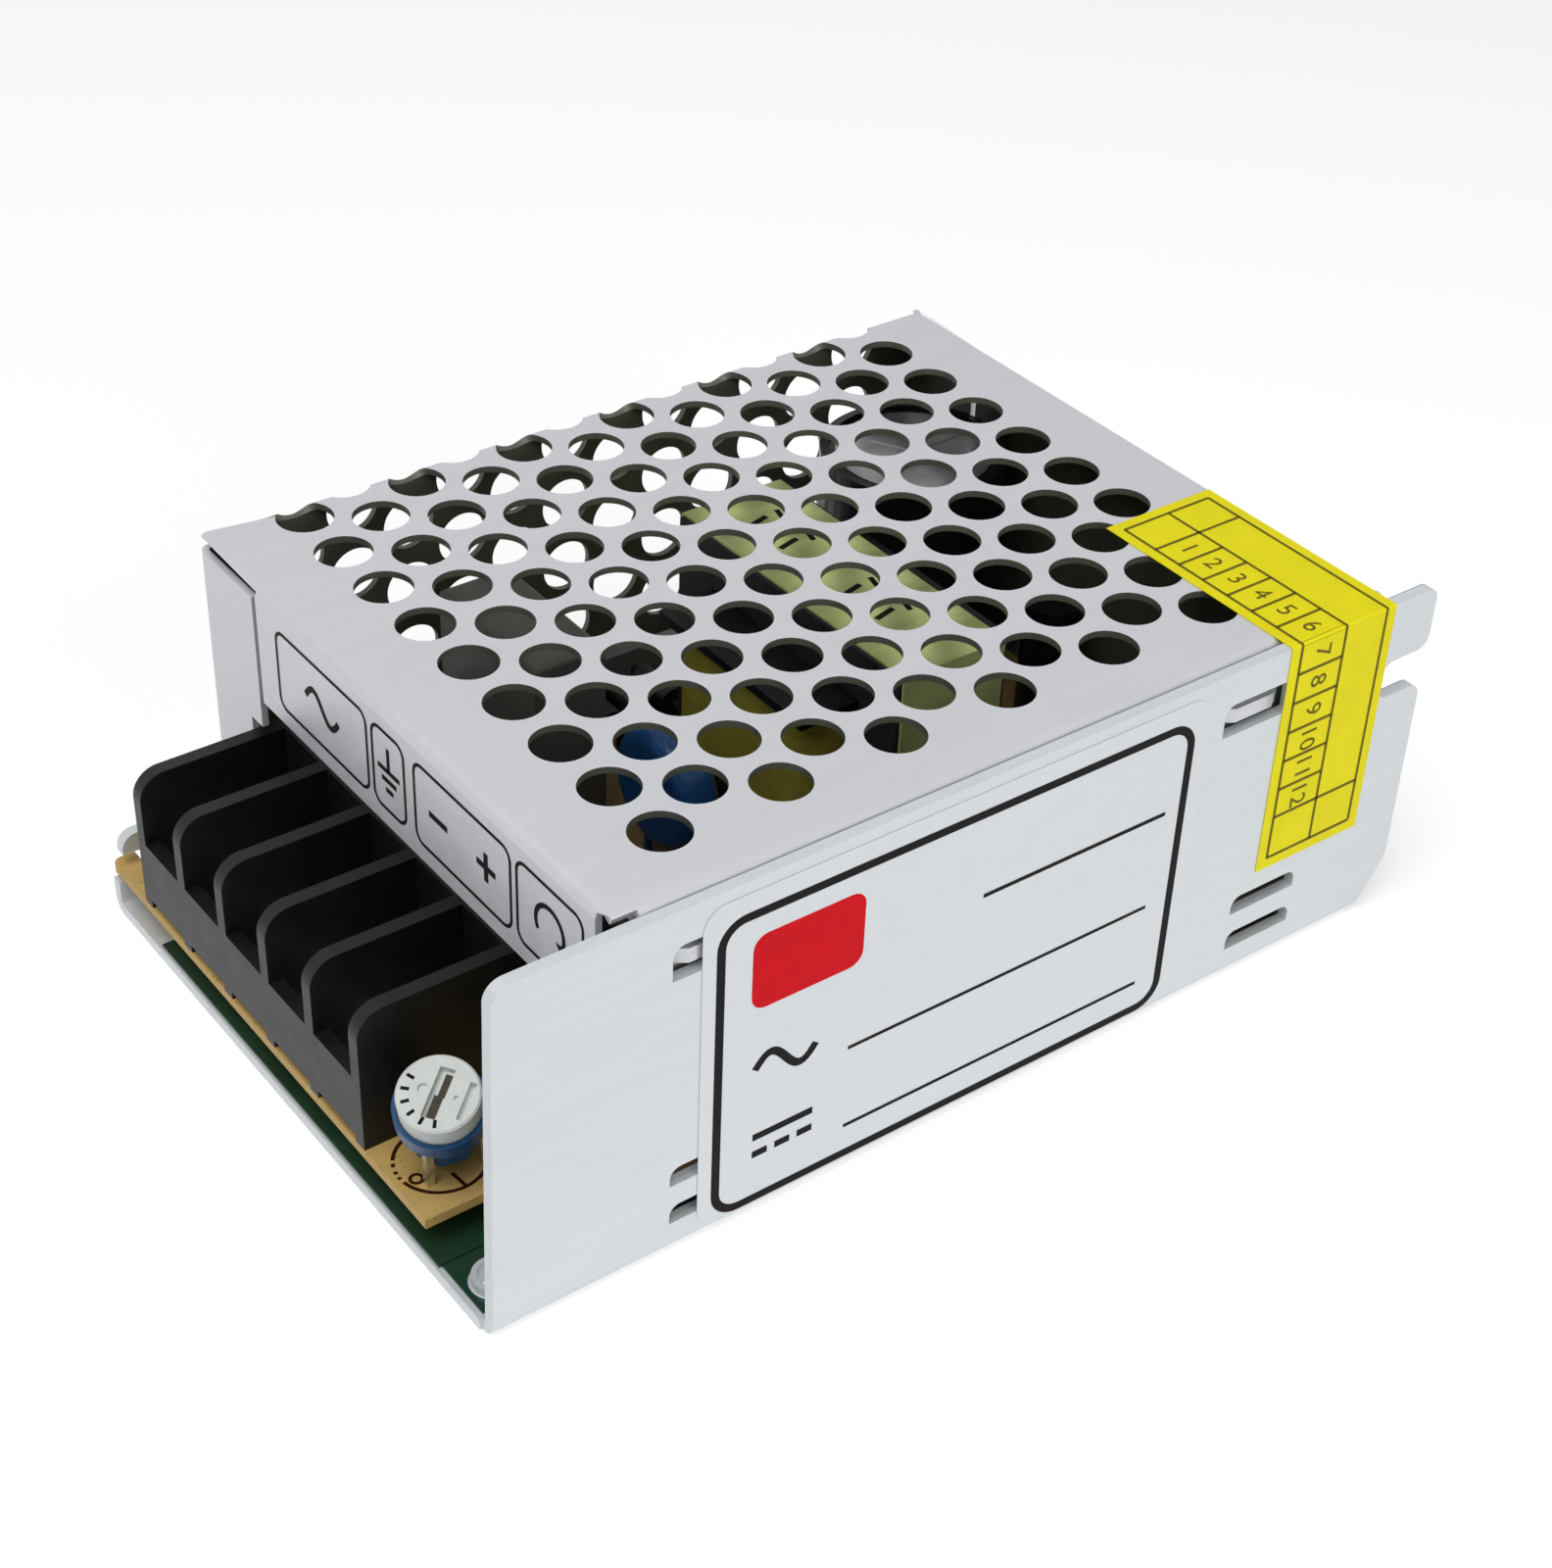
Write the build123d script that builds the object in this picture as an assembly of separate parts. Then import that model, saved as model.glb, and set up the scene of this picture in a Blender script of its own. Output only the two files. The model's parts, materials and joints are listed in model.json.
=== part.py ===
from build123d import *
import math
import os

# Driving dimensions in millimetres.
# X runs from the terminal end to the mounting ear, Y from the long side wall to the
# perforated side, Z up. Inside this file X and Y are counted from the front edge and
# from the outside of the long side wall; place() moves a finished node to the frame.
case_length = 85.0
case_width = 57.4
case_height = 30.3

# Sheet metal
chassis_sheet = 1.0
cover_sheet = 0.8
bend_inside = 0.4
sheet_gap = 0.2
lip_gap = 0.3
cut_past = 1.0

# Chassis
base_rear_gap = 3.5
lip_height = 7.3
lip_front = 0.6
lip_nose_radius = 1.3
lip_notch_depth = 2.6
lip_notch_low = 3.1
lip_notch_high = 5.6
lip_notch_radius = 0.9
wall_corner_radius = 1.5
wall_foot_setback = 0.2
wall_head_setback = 0.9
ear_corner_radius = 1.0
ear_foot_run = 3.2
ear_foot_rise = 4.6
ear_slot_width = 3.3
ear_slot_length = 5.2
ear_slot_drop = 7.05
ear_slot_mouth_radius = 1.2
slot_length = 6.8
front_slot_x = 14.5
lug_slot_rear_gap = 21.7
lug_slot_drop = 5.7
lug_slot_height = 2.8
lug_slot_radius = 1.0
pair_slot_rear_gap = 17.7
pair_slot_foot = 2.85
pair_slot_height = 1.6
pair_slot_step = 3.5
pair_slot_radius = 0.9
collar_x = 2.75
collar_y = 3.8
collar_height = 0.8
collar_wall = 0.4
tapped_radius = 1.25
rest_radius = 1.6
rest_gap = 0.5

# Cover
cover_front = 10.65
cover_rear_gap = 4.1
cover_foot = 0.6
strip_height = 10.2
strip_near_end = 3.2
strip_far_gap = 8.7
end_flange_gap = 8.1
near_flange_depth = 7.3
flange_trim = 0.3
relief_length = 2.2
relief_width = 0.65
slit = 0.25
hole_radius = 2.25
hole_pitch_x = 4.95
hole_pitch_y = 6.0
first_hole_x = 18.7
first_hole_y = 7.63
hole_rear_gap = 5.0
lug_end_gap = 0.4
lug_slope = 1.2
lug_out = 0.8
lug_height = 1.2
lug_drop = 0.1
lug_window = 0.5

# Circuit board and insulating sheet
board_front = 0.2
board_rear_gap = 5.7
board_under = 3.5
board_sheet = 0.8
board_edge_gap = 0.3
board_notch_x = 7.5
board_notch_y = 8.5
board_tab_length = 2.0
board_tab_out = 0.6
board_tab_radius = 0.8
film_sheet = 0.25
film_near = 7.0
film_far_gap = 8.7
film_rear_gap = 1.0
board_screw_place = (42.2, 50.7)
board_screw_head_radius = 2.7
board_screw_head_height = 1.8
board_screw_length = 4.0
board_screw_gap = 0.4

# Terminal block
pole_count = 5
fin = 1.2
block_front = 0.2
block_rear = 13.8
block_near = 16.8
block_far_gap = 6.65
fin_height = 16.5
fin_nose_radius = 2.2
lip_top = 10.4
block_floor = 6.0
block_wall = 1.2
foot_gap = 0.7
block_cover_gap = 1.0
contact_sheet = 0.9
clamp_sheet = 0.8
clamp_front = 3.4
clamp_back = 2.4
clamp_rise = 0.7
clamp_bore_gap = 0.2
pole_clearance = 0.25
screw_x = 6.8
screw_bore_gap = 0.3
thread_clearance = 0.05
screw_head_gap = 0.5
shank_share = 0.69
screw_head_height = 1.6
screw_length = 3.1
screw_turn_step = 23
head_edge_share = 0.4
recess_share = 1.3
drive_slot = 0.7
tail_setback = 2.4
tail_length = 1.2
tail_width = 1.0
tail_bore = 1.5
tail_hole_radius = 0.9
tail_out = 0.9

# Trimmer
trimmer_x = 4.55
trimmer_y = 12.9
trimmer_lean = 22.0
trimmer_azimuth = 232.0
trimmer_stand = 2.4
trimmer_body_radius = 3.35
trimmer_base_radius = 2.55
trimmer_base_height = 2.6
trimmer_cup_height = 2.0
trimmer_cup_chamfer = 0.6
rotor_radius = 2.95
rotor_height = 2.4
rotor_edge = 0.15
rotor_sunk = 0.6
rotor_clearance = 0.08
spindle_radius = 0.8
spindle_length = 1.2
rotor_turn = -15.0
groove_width = 1.1
groove_length = 3.9
groove_depth = 0.6
driver_slit = 0.45
driver_slit_length = 1.6
driver_slit_depth = 1.4
driver_kink = 0.3
wiper_x = 2.05
wiper_width = 0.5
wiper_length = 2.9
dimple_radius = 0.4
dimple_depth = 0.25
trimmer_base_sides = 8
trimmer_pin_width = 0.6
trimmer_pin_places = ((-2.3, -1.45), (2.0, -1.6), (0.7, 1.7))

# Room for the board's parts behind the terminal block, as the layout below is drawn:
# places are counted from the block, from the long wall and from the board's upper side
layout_length = 65.5
layout_width = 54.3
layout_height = 25.2
lead_radius = 0.35

# Transformer
core_place = (38.4, 30.65)
core_depth = 10.5
core_span = 28.3
core_height = 21.0
core_foot = 0.7
core_leg = 4.5
core_middle_leg = 7.3
core_back = 4.3
bobbin_length = 21.0
bobbin_sheet = 0.8
bobbin_gap = 0.15
bobbin_side_gap = 0.25
pin_rail = 3.4
winding_inset = 0.5
winding_corner_radius = 3.0
tape_width = 9.8
tape_sheet = 0.2

# Line filter
filter_place = (6.2, 43.5)
filter_top = 13.3
filter_limb = 3.0
filter_spacing = 6.6
filter_coil_radius = 3.1
filter_coil_gap = 0.2
filter_base = 0.9
filter_base_length = 8.0
filter_base_width = 12.0

# Capacitors
bulk_place = (57.5, 45.0)
bulk_radius = 8.0
bulk_height = 20.5
bulk_bead_height = 2.5
can_bead = 0.5
can_rim = 0.7
can_rim_drop = 0.4
output_x = 9.2
output_near = 10.5
output_radius = 6.2
output_length = 25.0
output_bead_setback = 3.0
film_capacitor_xs = (14.4, 20.9)
film_capacitor_ys = (37.2, 51.2)
film_capacitor_top = 18.1
film_capacitor_edge = 0.6
disc_capacitor_xs = (20.4, 24.0)
disc_capacitor_middle = (30.5, 8.2)
disc_capacitor_radius = 5.2
disc_capacitor_edge = 1.2
disc_capacitor_spread = 2.6
disc_capacitor_leg = 5.2
supply_capacitor_place = (62.2, 31.0)
supply_capacitor_radius = 2.5
supply_capacitor_height = 11.0

# Fuse, thermistor, diodes and resistors
fuse_y = 52.1
fuse_lift = 2.1
fuse_tube = (4.2, 12.8)
fuse_radius = 1.5
fuse_caps = ((3.4, 5.6), (11.4, 13.6))
fuse_cap_radius = 1.65
fuse_legs = (4.0, 13.0)
fuse_leg_radius = 0.4
thermistor_xs = (23.2, 25.6)
thermistor_middle = (49.2, 5.9)
thermistor_radius = 4.0
thermistor_edge = 0.8
thermistor_spread = 2.0
thermistor_leg = 3.7
diode_count = 4
first_diode_x = 28.5
diode_step = 3.1
diode_y = 49.9
diode_length = 4.6
diode_radius = 1.3
diode_lift = 1.5
resistor_count = 4
first_resistor_x = 48.2
resistor_step = 4.3
resistor_y = 10.5
resistor_length = 8.0
resistor_radius = 1.6
resistor_lift = 1.9
lead_out = 1.2

# Power devices on the long wall
device_xs = (19.2, 40.7)
device_width = 10.0
device_foot = 4.7
device_body_height = 7.2
device_body_depth = 4.4
device_tab = 1.3
device_tab_top = 17.3
device_hole = 14.9
device_hole_radius = 1.7
device_leg_pitch = 2.54
device_leg_width = 0.8
device_leg_front = 2.2
device_leg_sheet = 0.5
device_screw_radius = 1.45
device_screw_head_radius = 2.6
device_screw_head_height = 1.9
device_screw_short = 0.3
pad_sheet = 0.25
pad_margin = 0.6

# Chips and output choke
chip_pitch = 2.54
chip_foot = 0.6
chip_height = 3.2
chip_width = 6.4
chip_chamfer = 0.3
chip_leg_width = 0.8
chip_leg_sheet = 0.5
controller_place = (56.7, 23.0)
controller_length = 9.4
controller_pins = 4
optocoupler_place = (22.2, 19.5)
optocoupler_length = 4.6
optocoupler_pins = 2
choke_place = (29.7, 7.6)
choke_radius = 4.4
choke_height = 11.0
choke_flange = 1.6
choke_drum_radius = 2.0
choke_winding_radius = 3.9
choke_gap = 0.05

base_length = case_length - base_rear_gap
cover_rear = case_length - cover_rear_gap
board_rear = case_length - board_rear_gap
wall_inside = chassis_sheet
top_inside = case_height - cover_sheet
lip_outside = case_width - cover_sheet - lip_gap
lip_inside = lip_outside - chassis_sheet
cover_near = wall_inside + sheet_gap
strip_far_end = case_width - strip_far_gap
end_flange_edge = case_width - end_flange_gap
ear_slot_height = case_height - ear_slot_drop
lug_slot_low = case_height - lug_slot_drop
lug_slot_xs = (front_slot_x, case_length - lug_slot_rear_gap)
pair_slot_xs = (front_slot_x, case_length - pair_slot_rear_gap)
film_far = case_width - film_far_gap
board_top = board_under + board_sheet
block_far = case_width - block_far_gap
pole_pitch = (block_far - block_near - fin) / pole_count
screw_head_radius = (pole_pitch - fin) / 2 - screw_head_gap
screw_radius = screw_head_radius * shank_share
tail_x = block_rear - tail_setback
grid_x = (board_rear - block_rear) / layout_length
grid_y = (lip_inside - wall_inside) / layout_width
grid_z = (top_inside - board_top) / layout_height
round_scale = min(grid_x, grid_y, grid_z)


def room_x(x):
    """Place behind the terminal block."""
    return block_rear + x * grid_x


def room_y(y):
    """Place beyond the long wall."""
    return wall_inside + y * grid_y


def room_z(z):
    """Height over the board."""
    return board_top + z * grid_z


def span(x0, x1, y0, y1, z0, z1):
    """Block between two corners."""
    return Pos((x0 + x1) / 2, (y0 + y1) / 2, (z0 + z1) / 2) * Box(x1 - x0, y1 - y0, z1 - z0)


def upright(x, y, z0, z1, radius):
    """Round bar along Z."""
    return Pos(x, y, (z0 + z1) / 2) * Cylinder(radius, z1 - z0)


def along_y(x, z, y0, y1, radius):
    """Round bar along Y."""
    return Pos(x, (y0 + y1) / 2, z) * Rot(90, 0, 0) * Cylinder(radius, y1 - y0)


def along_x(y, z, x0, x1, radius):
    """Round bar along X."""
    return Pos((x0 + x1) / 2, y, z) * Rot(0, 90, 0) * Cylinder(radius, x1 - x0)


def edges_near(shape, axis, *spots):
    """Straight edges along one axis that pass within 0.05 mm of the given centres."""
    found = shape.edges().filter_by(axis)
    chosen = [e for e in found for spot in spots if (e.center() - Vector(*spot)).length < 0.05]
    return ShapeList(chosen)


# Chassis: one folded sheet
def chassis_channel():
    """Base, long side wall and low far lip, bent from one sheet."""
    outer = span(0, case_length, 0, lip_outside, 0, case_height)
    under = edges_near(outer, Axis.X, (case_length / 2, 0, 0), (case_length / 2, lip_outside, 0))
    outer = fillet(under, bend_inside + chassis_sheet)
    past = case_length + cut_past
    inner = span(-cut_past, past, wall_inside, lip_inside, chassis_sheet, case_height + cut_past)
    under = edges_near(
        inner,
        Axis.X,
        (case_length / 2, wall_inside, chassis_sheet),
        (case_length / 2, lip_inside, chassis_sheet),
    )
    inner = fillet(under, bend_inside)
    channel = outer - inner
    far = lip_outside + cut_past
    channel -= span(-cut_past, past, lip_inside - slit, far, lip_height, case_height + cut_past)
    return channel - span(base_length, past, wall_inside, far, -cut_past, case_height)


def wall_outline():
    """Side view of the long wall: rounded front corner, slotted ear, cut-back foot."""
    outline = Polygon(
        (wall_foot_setback, 0),
        (case_length - ear_foot_run, 0),
        (case_length, ear_foot_rise),
        (case_length, case_height),
        (wall_head_setback, case_height),
        align=None,
    )
    front = outline.vertices().sort_by_distance((wall_head_setback, case_height))[0]
    outline = fillet(front, wall_corner_radius)
    ear = outline.vertices().sort_by_distance((case_length, case_height))[0]
    outline = fillet(ear, ear_corner_radius)
    foot = outline.vertices().sort_by_distance((case_length, ear_foot_rise))[0]
    outline = fillet(foot, ear_foot_run)
    half = ear_slot_width / 2
    reach = case_length - ear_slot_length + half
    open_end = case_length + cut_past
    outline -= Pos(reach, ear_slot_height) * Circle(half)
    outline -= Pos((reach + open_end) / 2, ear_slot_height) * Rectangle(open_end - reach, ear_slot_width)
    mouth = [
        outline.vertices().sort_by_distance((case_length, ear_slot_height + side * half))[0]
        for side in (-1, 1)
    ]
    outline = fillet(mouth, ear_slot_mouth_radius)
    return Plane.XZ * outline


def wall_slot(x0, low, height, radius):
    """Cutter for one slot of the long wall: square below, rounded at its two upper corners."""
    x1 = x0 + slot_length
    y0, y1 = -cut_past, wall_inside + cut_past
    tool = span(x0, x1, y0, y1, low, low + height)
    middle = (y0 + y1) / 2
    corners = edges_near(tool, Axis.Y, (x0, middle, low + height), (x1, middle, low + height))
    return fillet(corners, radius)


def wall_slots():
    """Cutters for the two lug slots and the two pairs of low slots."""
    tools = [wall_slot(x, lug_slot_low, lug_slot_height, lug_slot_radius) for x in lug_slot_xs]
    for x in pair_slot_xs:
        for low in (pair_slot_foot, pair_slot_foot + pair_slot_step):
            tools.append(wall_slot(x, low, pair_slot_height, pair_slot_radius))
    return tools


def base_collar():
    """Collar drawn up from the base round the tapped mounting hole."""
    top = chassis_sheet + collar_height
    return upright(collar_x, collar_y, 0, top, tapped_radius + collar_wall)


def board_screw_spot():
    return room_x(board_screw_place[0]), room_y(board_screw_place[1])


def board_supports():
    """Drawn collar under the board screw and two pressed rests beside the long wall."""
    posts = [upright(*board_screw_spot(), 0, board_under, tapped_radius + collar_wall)]
    rest_y = film_near - rest_radius - rest_gap
    for x in pair_slot_xs:
        posts.append(upright(x + slot_length / 2, rest_y, chassis_sheet / 2, board_under, rest_radius))
    return posts


def lip_notch():
    """Open notch at the front of the far lip for the tab of the circuit board."""
    near, far = lip_inside - cut_past, lip_outside + cut_past
    tool = span(-cut_past, lip_notch_depth, near, far, lip_notch_low, lip_notch_high)
    ends = [(lip_notch_depth, (near + far) / 2, z) for z in (lip_notch_low, lip_notch_high)]
    return fillet(edges_near(tool, Axis.Y, *ends), lip_notch_radius)


def lip_nose():
    """What the set-back, rounded front of the far lip leaves off above its notch."""
    near, far = lip_inside - cut_past, lip_outside + cut_past
    reach = lip_front + lip_nose_radius
    head = lip_height - lip_nose_radius
    corner = span(-cut_past, reach, near, far, head, lip_height + cut_past)
    corner -= along_y(reach, head, near - cut_past, far + cut_past, lip_nose_radius)
    return corner + span(-cut_past, lip_front, near, far, lip_notch_high, head)


def device_screw_bores():
    """Cutters for the tapped holes in the long wall."""
    radius = device_screw_radius + thread_clearance
    z = room_z(device_hole)
    return [along_y(room_x(x), z, -cut_past, wall_inside + cut_past, radius) for x in device_xs]


def make_chassis():
    body = chassis_channel()
    skin = wall_inside + bend_inside
    keep = extrude(wall_outline(), skin, both=True)
    body &= keep + span(-cut_past, base_length, skin, lip_outside + cut_past, -cut_past, case_height)
    for tool in wall_slots():
        body -= tool
    body += base_collar()
    for post in board_supports():
        body += post
    body -= upright(collar_x, collar_y, -cut_past, board_under, tapped_radius)
    body -= upright(*board_screw_spot(), -cut_past, board_under + cut_past, tapped_radius)
    for tool in device_screw_bores():
        body -= tool
    return body - lip_notch() - lip_nose()


# Perforated cover: one folded sheet
def cover_shell():
    """Rounded cap: top, far side, front strip, rear flange and short near flange."""
    outer = span(cover_front, cover_rear, cover_near, case_width, 0, case_height)
    bends = outer.edges().group_by(Axis.Z)[-1] + outer.edges().filter_by(Axis.Z).group_by(Axis.Y)[-1]
    outer = fillet(bends, bend_inside + cover_sheet)
    inner = span(
        cover_front + cover_sheet,
        cover_rear - cover_sheet,
        cover_near + cover_sheet,
        case_width - cover_sheet,
        -cut_past,
        top_inside,
    )
    bends = inner.edges().group_by(Axis.Z)[-1] + inner.edges().filter_by(Axis.Z).group_by(Axis.Y)[-1]
    inner = fillet(bends, bend_inside)
    return outer - inner


def cover_trims():
    """Cutters that leave each flange its own outline."""
    far = case_width + cut_past
    skin = cover_sheet + flange_trim
    before, behind = cover_front - cut_past, cover_rear + cut_past
    front = (before, cover_front + skin)
    rear = (cover_rear - skin, behind)
    tools = [
        # short near flange
        span(before, behind, 0, cover_near + skin, -cut_past, case_height - near_flange_depth),
        # far side stands clear of the table, the rear flange clear of the base
        span(before, behind, 0, far, -cut_past, cover_foot),
        span(*rear, 0, far, -cut_past, chassis_sheet + lip_gap),
        # front strip keeps only its upper part
        span(*front, 0, end_flange_edge, -cut_past, case_height - strip_height),
        # far end flange passes round the terminal block
        span(*front, 0, block_far + lip_gap, -cut_past, fin_height + block_cover_gap),
    ]
    for ends in (front, rear):
        # end flange stops above the far lip
        tools.append(span(*ends, end_flange_edge, case_width - cover_sheet, -cut_past, lip_height + lip_gap))
        # gap between strip and end flange, and the open corner near the long wall
        tools.append(span(*ends, strip_far_end, end_flange_edge, -cut_past, top_inside))
        tools.append(span(*ends, 0, strip_near_end, -cut_past, top_inside))
        # end flange stops short of the flat top
        tools.append(span(*ends, strip_far_end, far, top_inside - slit, top_inside))
    for x in (before, cover_rear - relief_length):
        run = relief_length + cut_past
        tools.append(span(x, x + run, 0, cover_near + relief_width, -cut_past, case_height + cut_past))
    return tools


def hole_grid():
    """Top and side holes of the staggered pattern, as cutters."""
    bend = bend_inside + cover_sheet
    developed = case_width - bend + (bend_inside + cover_sheet / 2) * math.pi / 2
    columns = int((cover_rear - hole_rear_gap - first_hole_x) / hole_pitch_x) + 1
    tools = []
    for column in range(columns):
        x = first_hole_x + column * hole_pitch_x
        y = first_hole_y + hole_pitch_y / 2 * (column % 2)
        while y < case_width:
            tools.append(upright(x, y, top_inside - cover_sheet, case_height + cut_past, hole_radius))
            y += hole_pitch_y
        z = case_height - bend - (y - developed)
        while z - hole_radius > lip_height:
            tools.append(along_y(x, z, case_width - 2 * cover_sheet, case_width + cut_past, hole_radius))
            z -= hole_pitch_y
    return tools


def lug_middle():
    """Height of the middle of a lug."""
    return lug_slot_low + lug_slot_height / 2 - lug_drop


def lug_opening(x0):
    """Cutter for the opening that a lug is lanced from."""
    reach = lug_height / 2 + lug_window
    z = lug_middle()
    ends = (x0 + lug_end_gap, x0 + slot_length - lug_end_gap)
    return span(*ends, 0, cover_near + cover_sheet + slit, z - reach, z + reach)


def cover_lug(x0):
    """Strip of the near flange lanced outward, so that it catches in a slot of the long wall."""
    start, end = x0 + lug_end_gap, x0 + slot_length - lug_end_gap
    crest = cover_near - lug_out
    outline = Polygon(
        (start, cover_near),
        (start + lug_slope, crest),
        (end - lug_slope, crest),
        (end, cover_near),
        (end, cover_near + cover_sheet),
        (end - lug_slope, crest + cover_sheet),
        (start + lug_slope, crest + cover_sheet),
        (start, cover_near + cover_sheet),
        align=None,
    )
    return Pos(0, 0, lug_middle() - lug_height / 2) * extrude(outline, lug_height)


def make_cover():
    body = cover_shell()
    for tool in cover_trims():
        body -= tool
    body -= hole_grid()
    for x in lug_slot_xs:
        body -= lug_opening(x)
        body += cover_lug(x)
    return body


# Board and what lies under it
def make_insulating_sheet():
    z = chassis_sheet
    return span(board_front, board_rear - film_rear_gap, film_near, film_far, z, z + film_sheet)


def pole_y(pole):
    """Centre of a pole, counted from the far end."""
    return block_far - fin / 2 - pole_pitch * (pole - 0.5)


def make_circuit_board():
    near = wall_inside + board_edge_gap
    far = lip_inside - board_edge_gap
    tab_far = lip_outside + board_tab_out
    body = span(board_front, board_rear, near, far, board_under, board_top)
    body -= span(-cut_past, board_notch_x, 0, board_notch_y, 0, case_height)
    tab_end = board_front + board_tab_length
    body += span(board_front, tab_end, far - board_tab_length, tab_far, board_under, board_top)
    tip = edges_near(body, Axis.Z, (board_front, tab_far, board_under + board_sheet / 2))
    body = fillet(tip, board_tab_radius)
    body -= upright(*board_screw_spot(), 0, board_top + cut_past, tapped_radius + board_screw_gap)
    for pole in range(1, pole_count + 1):
        body -= upright(tail_x, pole_y(pole), 0, board_top + cut_past, tail_hole_radius)
    return body


def pan_screw(head_radius, head_height, shank_radius, length):
    """Cross-recessed pan head screw, head up, seated at z = 0."""
    head = Cylinder(head_radius, head_height, align=(Align.CENTER, Align.CENTER, Align.MIN))
    head = fillet(head.edges().group_by(Axis.Z)[-1], head_height * head_edge_share)
    shank = Cylinder(shank_radius, length, align=(Align.CENTER, Align.CENTER, Align.MAX))
    for angle in (0, 90):
        recess = Box(head_radius * recess_share, drive_slot, head_height)
        head -= Pos(0, 0, head_height) * Rot(0, 0, angle) * recess
    return head + shank


def make_board_screw():
    shank = tapped_radius - thread_clearance
    screw = pan_screw(board_screw_head_radius, board_screw_head_height, shank, board_screw_length)
    return Pos(*board_screw_spot(), board_top) * screw


# Terminal block
def fin_profile():
    """Side view of one barrier fin."""
    outline = Polygon(
        (block_front, board_top),
        (block_rear, board_top),
        (block_rear, fin_height),
        (block_front, fin_height),
        align=None,
    )
    nose = outline.vertices().sort_by_distance((block_front, fin_height))[0]
    return fillet(nose, fin_nose_radius)


def tray_profile():
    """Side view between two fins: front lip, floor and rear wall."""
    lip_end = block_front + block_wall
    wall_start = block_rear - block_wall
    return Polygon(
        (block_front, board_top + foot_gap),
        (block_rear, board_top + foot_gap),
        (block_rear, fin_height),
        (wall_start, fin_height),
        (wall_start, block_floor),
        (lip_end, block_floor),
        (lip_end, lip_top),
        (block_front, lip_top),
        align=None,
    )


def make_terminal_block():
    tray = extrude(Plane.XZ * tray_profile(), -(block_far - block_near - fin))
    body = Pos(0, block_near + fin / 2, 0) * tray
    for index in range(pole_count + 1):
        y = block_near + index * pole_pitch
        body += Pos(0, y, 0) * extrude(Plane.XZ * fin_profile(), -fin)
    half = tail_bore / 2
    above = block_floor + cut_past
    for pole in range(1, pole_count + 1):
        y = pole_y(pole)
        body -= upright(screw_x, y, board_top, above, screw_radius + screw_bore_gap)
        body -= span(tail_x - half, tail_x + half, y - half, y + half, board_top, above)
    return body


def pole_width():
    """Room between two fins, less the gaps beside what lies there."""
    return pole_pitch - fin - 2 * pole_clearance


def make_contact(pole):
    """Tinned contact: flat seat with a drawn thread and a tail through the board."""
    y = pole_y(pole)
    half = pole_width() / 2
    front = block_front + block_wall + pole_clearance
    top = block_floor + contact_sheet
    body = span(front, tail_x + tail_length / 2, y - half, y + half, block_floor, top)
    tail = (tail_x - tail_length / 2, tail_x + tail_length / 2, y - tail_width / 2, y + tail_width / 2)
    body += span(*tail, board_under - tail_out, top)
    return body - upright(screw_x, y, 0, top + cut_past, screw_radius + thread_clearance)


def make_clamp(pole):
    """Square clamp plate held under the screw head, its front edge turned up."""
    y = pole_y(pole)
    half = pole_width() / 2
    seat = block_floor + contact_sheet
    back = screw_x + clamp_back
    front = screw_x - clamp_front
    top = seat + clamp_sheet
    body = span(front, back, y - half, y + half, seat, top)
    body += span(front, front + clamp_sheet, y - half, y + half, seat, top + clamp_rise)
    return body - upright(screw_x, y, 0, top + cut_past, screw_radius + clamp_bore_gap)


def make_terminal_screw(pole):
    seat = block_floor + contact_sheet + clamp_sheet
    screw = pan_screw(screw_head_radius, screw_head_height, screw_radius, screw_length)
    turn = (screw_turn_step * pole) % 90
    return Pos(screw_x, pole_y(pole), seat) * Rot(0, 0, turn) * screw


# Trimmer
def trimmer_frame():
    """Foot of the leaning trimmer body, its axis tipped toward the open corner."""
    azimuth = math.radians(trimmer_azimuth)
    lean = math.radians(trimmer_lean)
    axis = (
        math.sin(lean) * math.cos(azimuth),
        math.sin(lean) * math.sin(azimuth),
        math.cos(lean),
    )
    turn = math.radians(trimmer_azimuth + 90)
    across = (math.cos(turn), math.sin(turn), 0)
    origin = (trimmer_x, trimmer_y, board_top + trimmer_stand)
    return Plane(origin=origin, x_dir=across, z_dir=axis).location


def make_trimmer_body():
    """Blue cup on a narrower eight-sided base."""
    up = (Align.CENTER, Align.CENTER, Align.MIN)
    base = extrude(RegularPolygon(trimmer_base_radius, trimmer_base_sides), trimmer_base_height)
    cup = Pos(0, 0, trimmer_base_height) * Cylinder(trimmer_body_radius, trimmer_cup_height, align=up)
    cup = chamfer(cup.edges().group_by(Axis.Z)[0], trimmer_cup_chamfer)
    body = base + cup
    seat = trimmer_base_height + trimmer_cup_height - rotor_sunk
    body -= Pos(0, 0, seat) * Cylinder(rotor_radius + rotor_clearance, rotor_sunk + cut_past, align=up)
    well = spindle_length + rotor_clearance
    body -= Pos(0, 0, seat - well) * Cylinder(spindle_radius + rotor_clearance, well + cut_past, align=up)
    return trimmer_frame() * body


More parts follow.
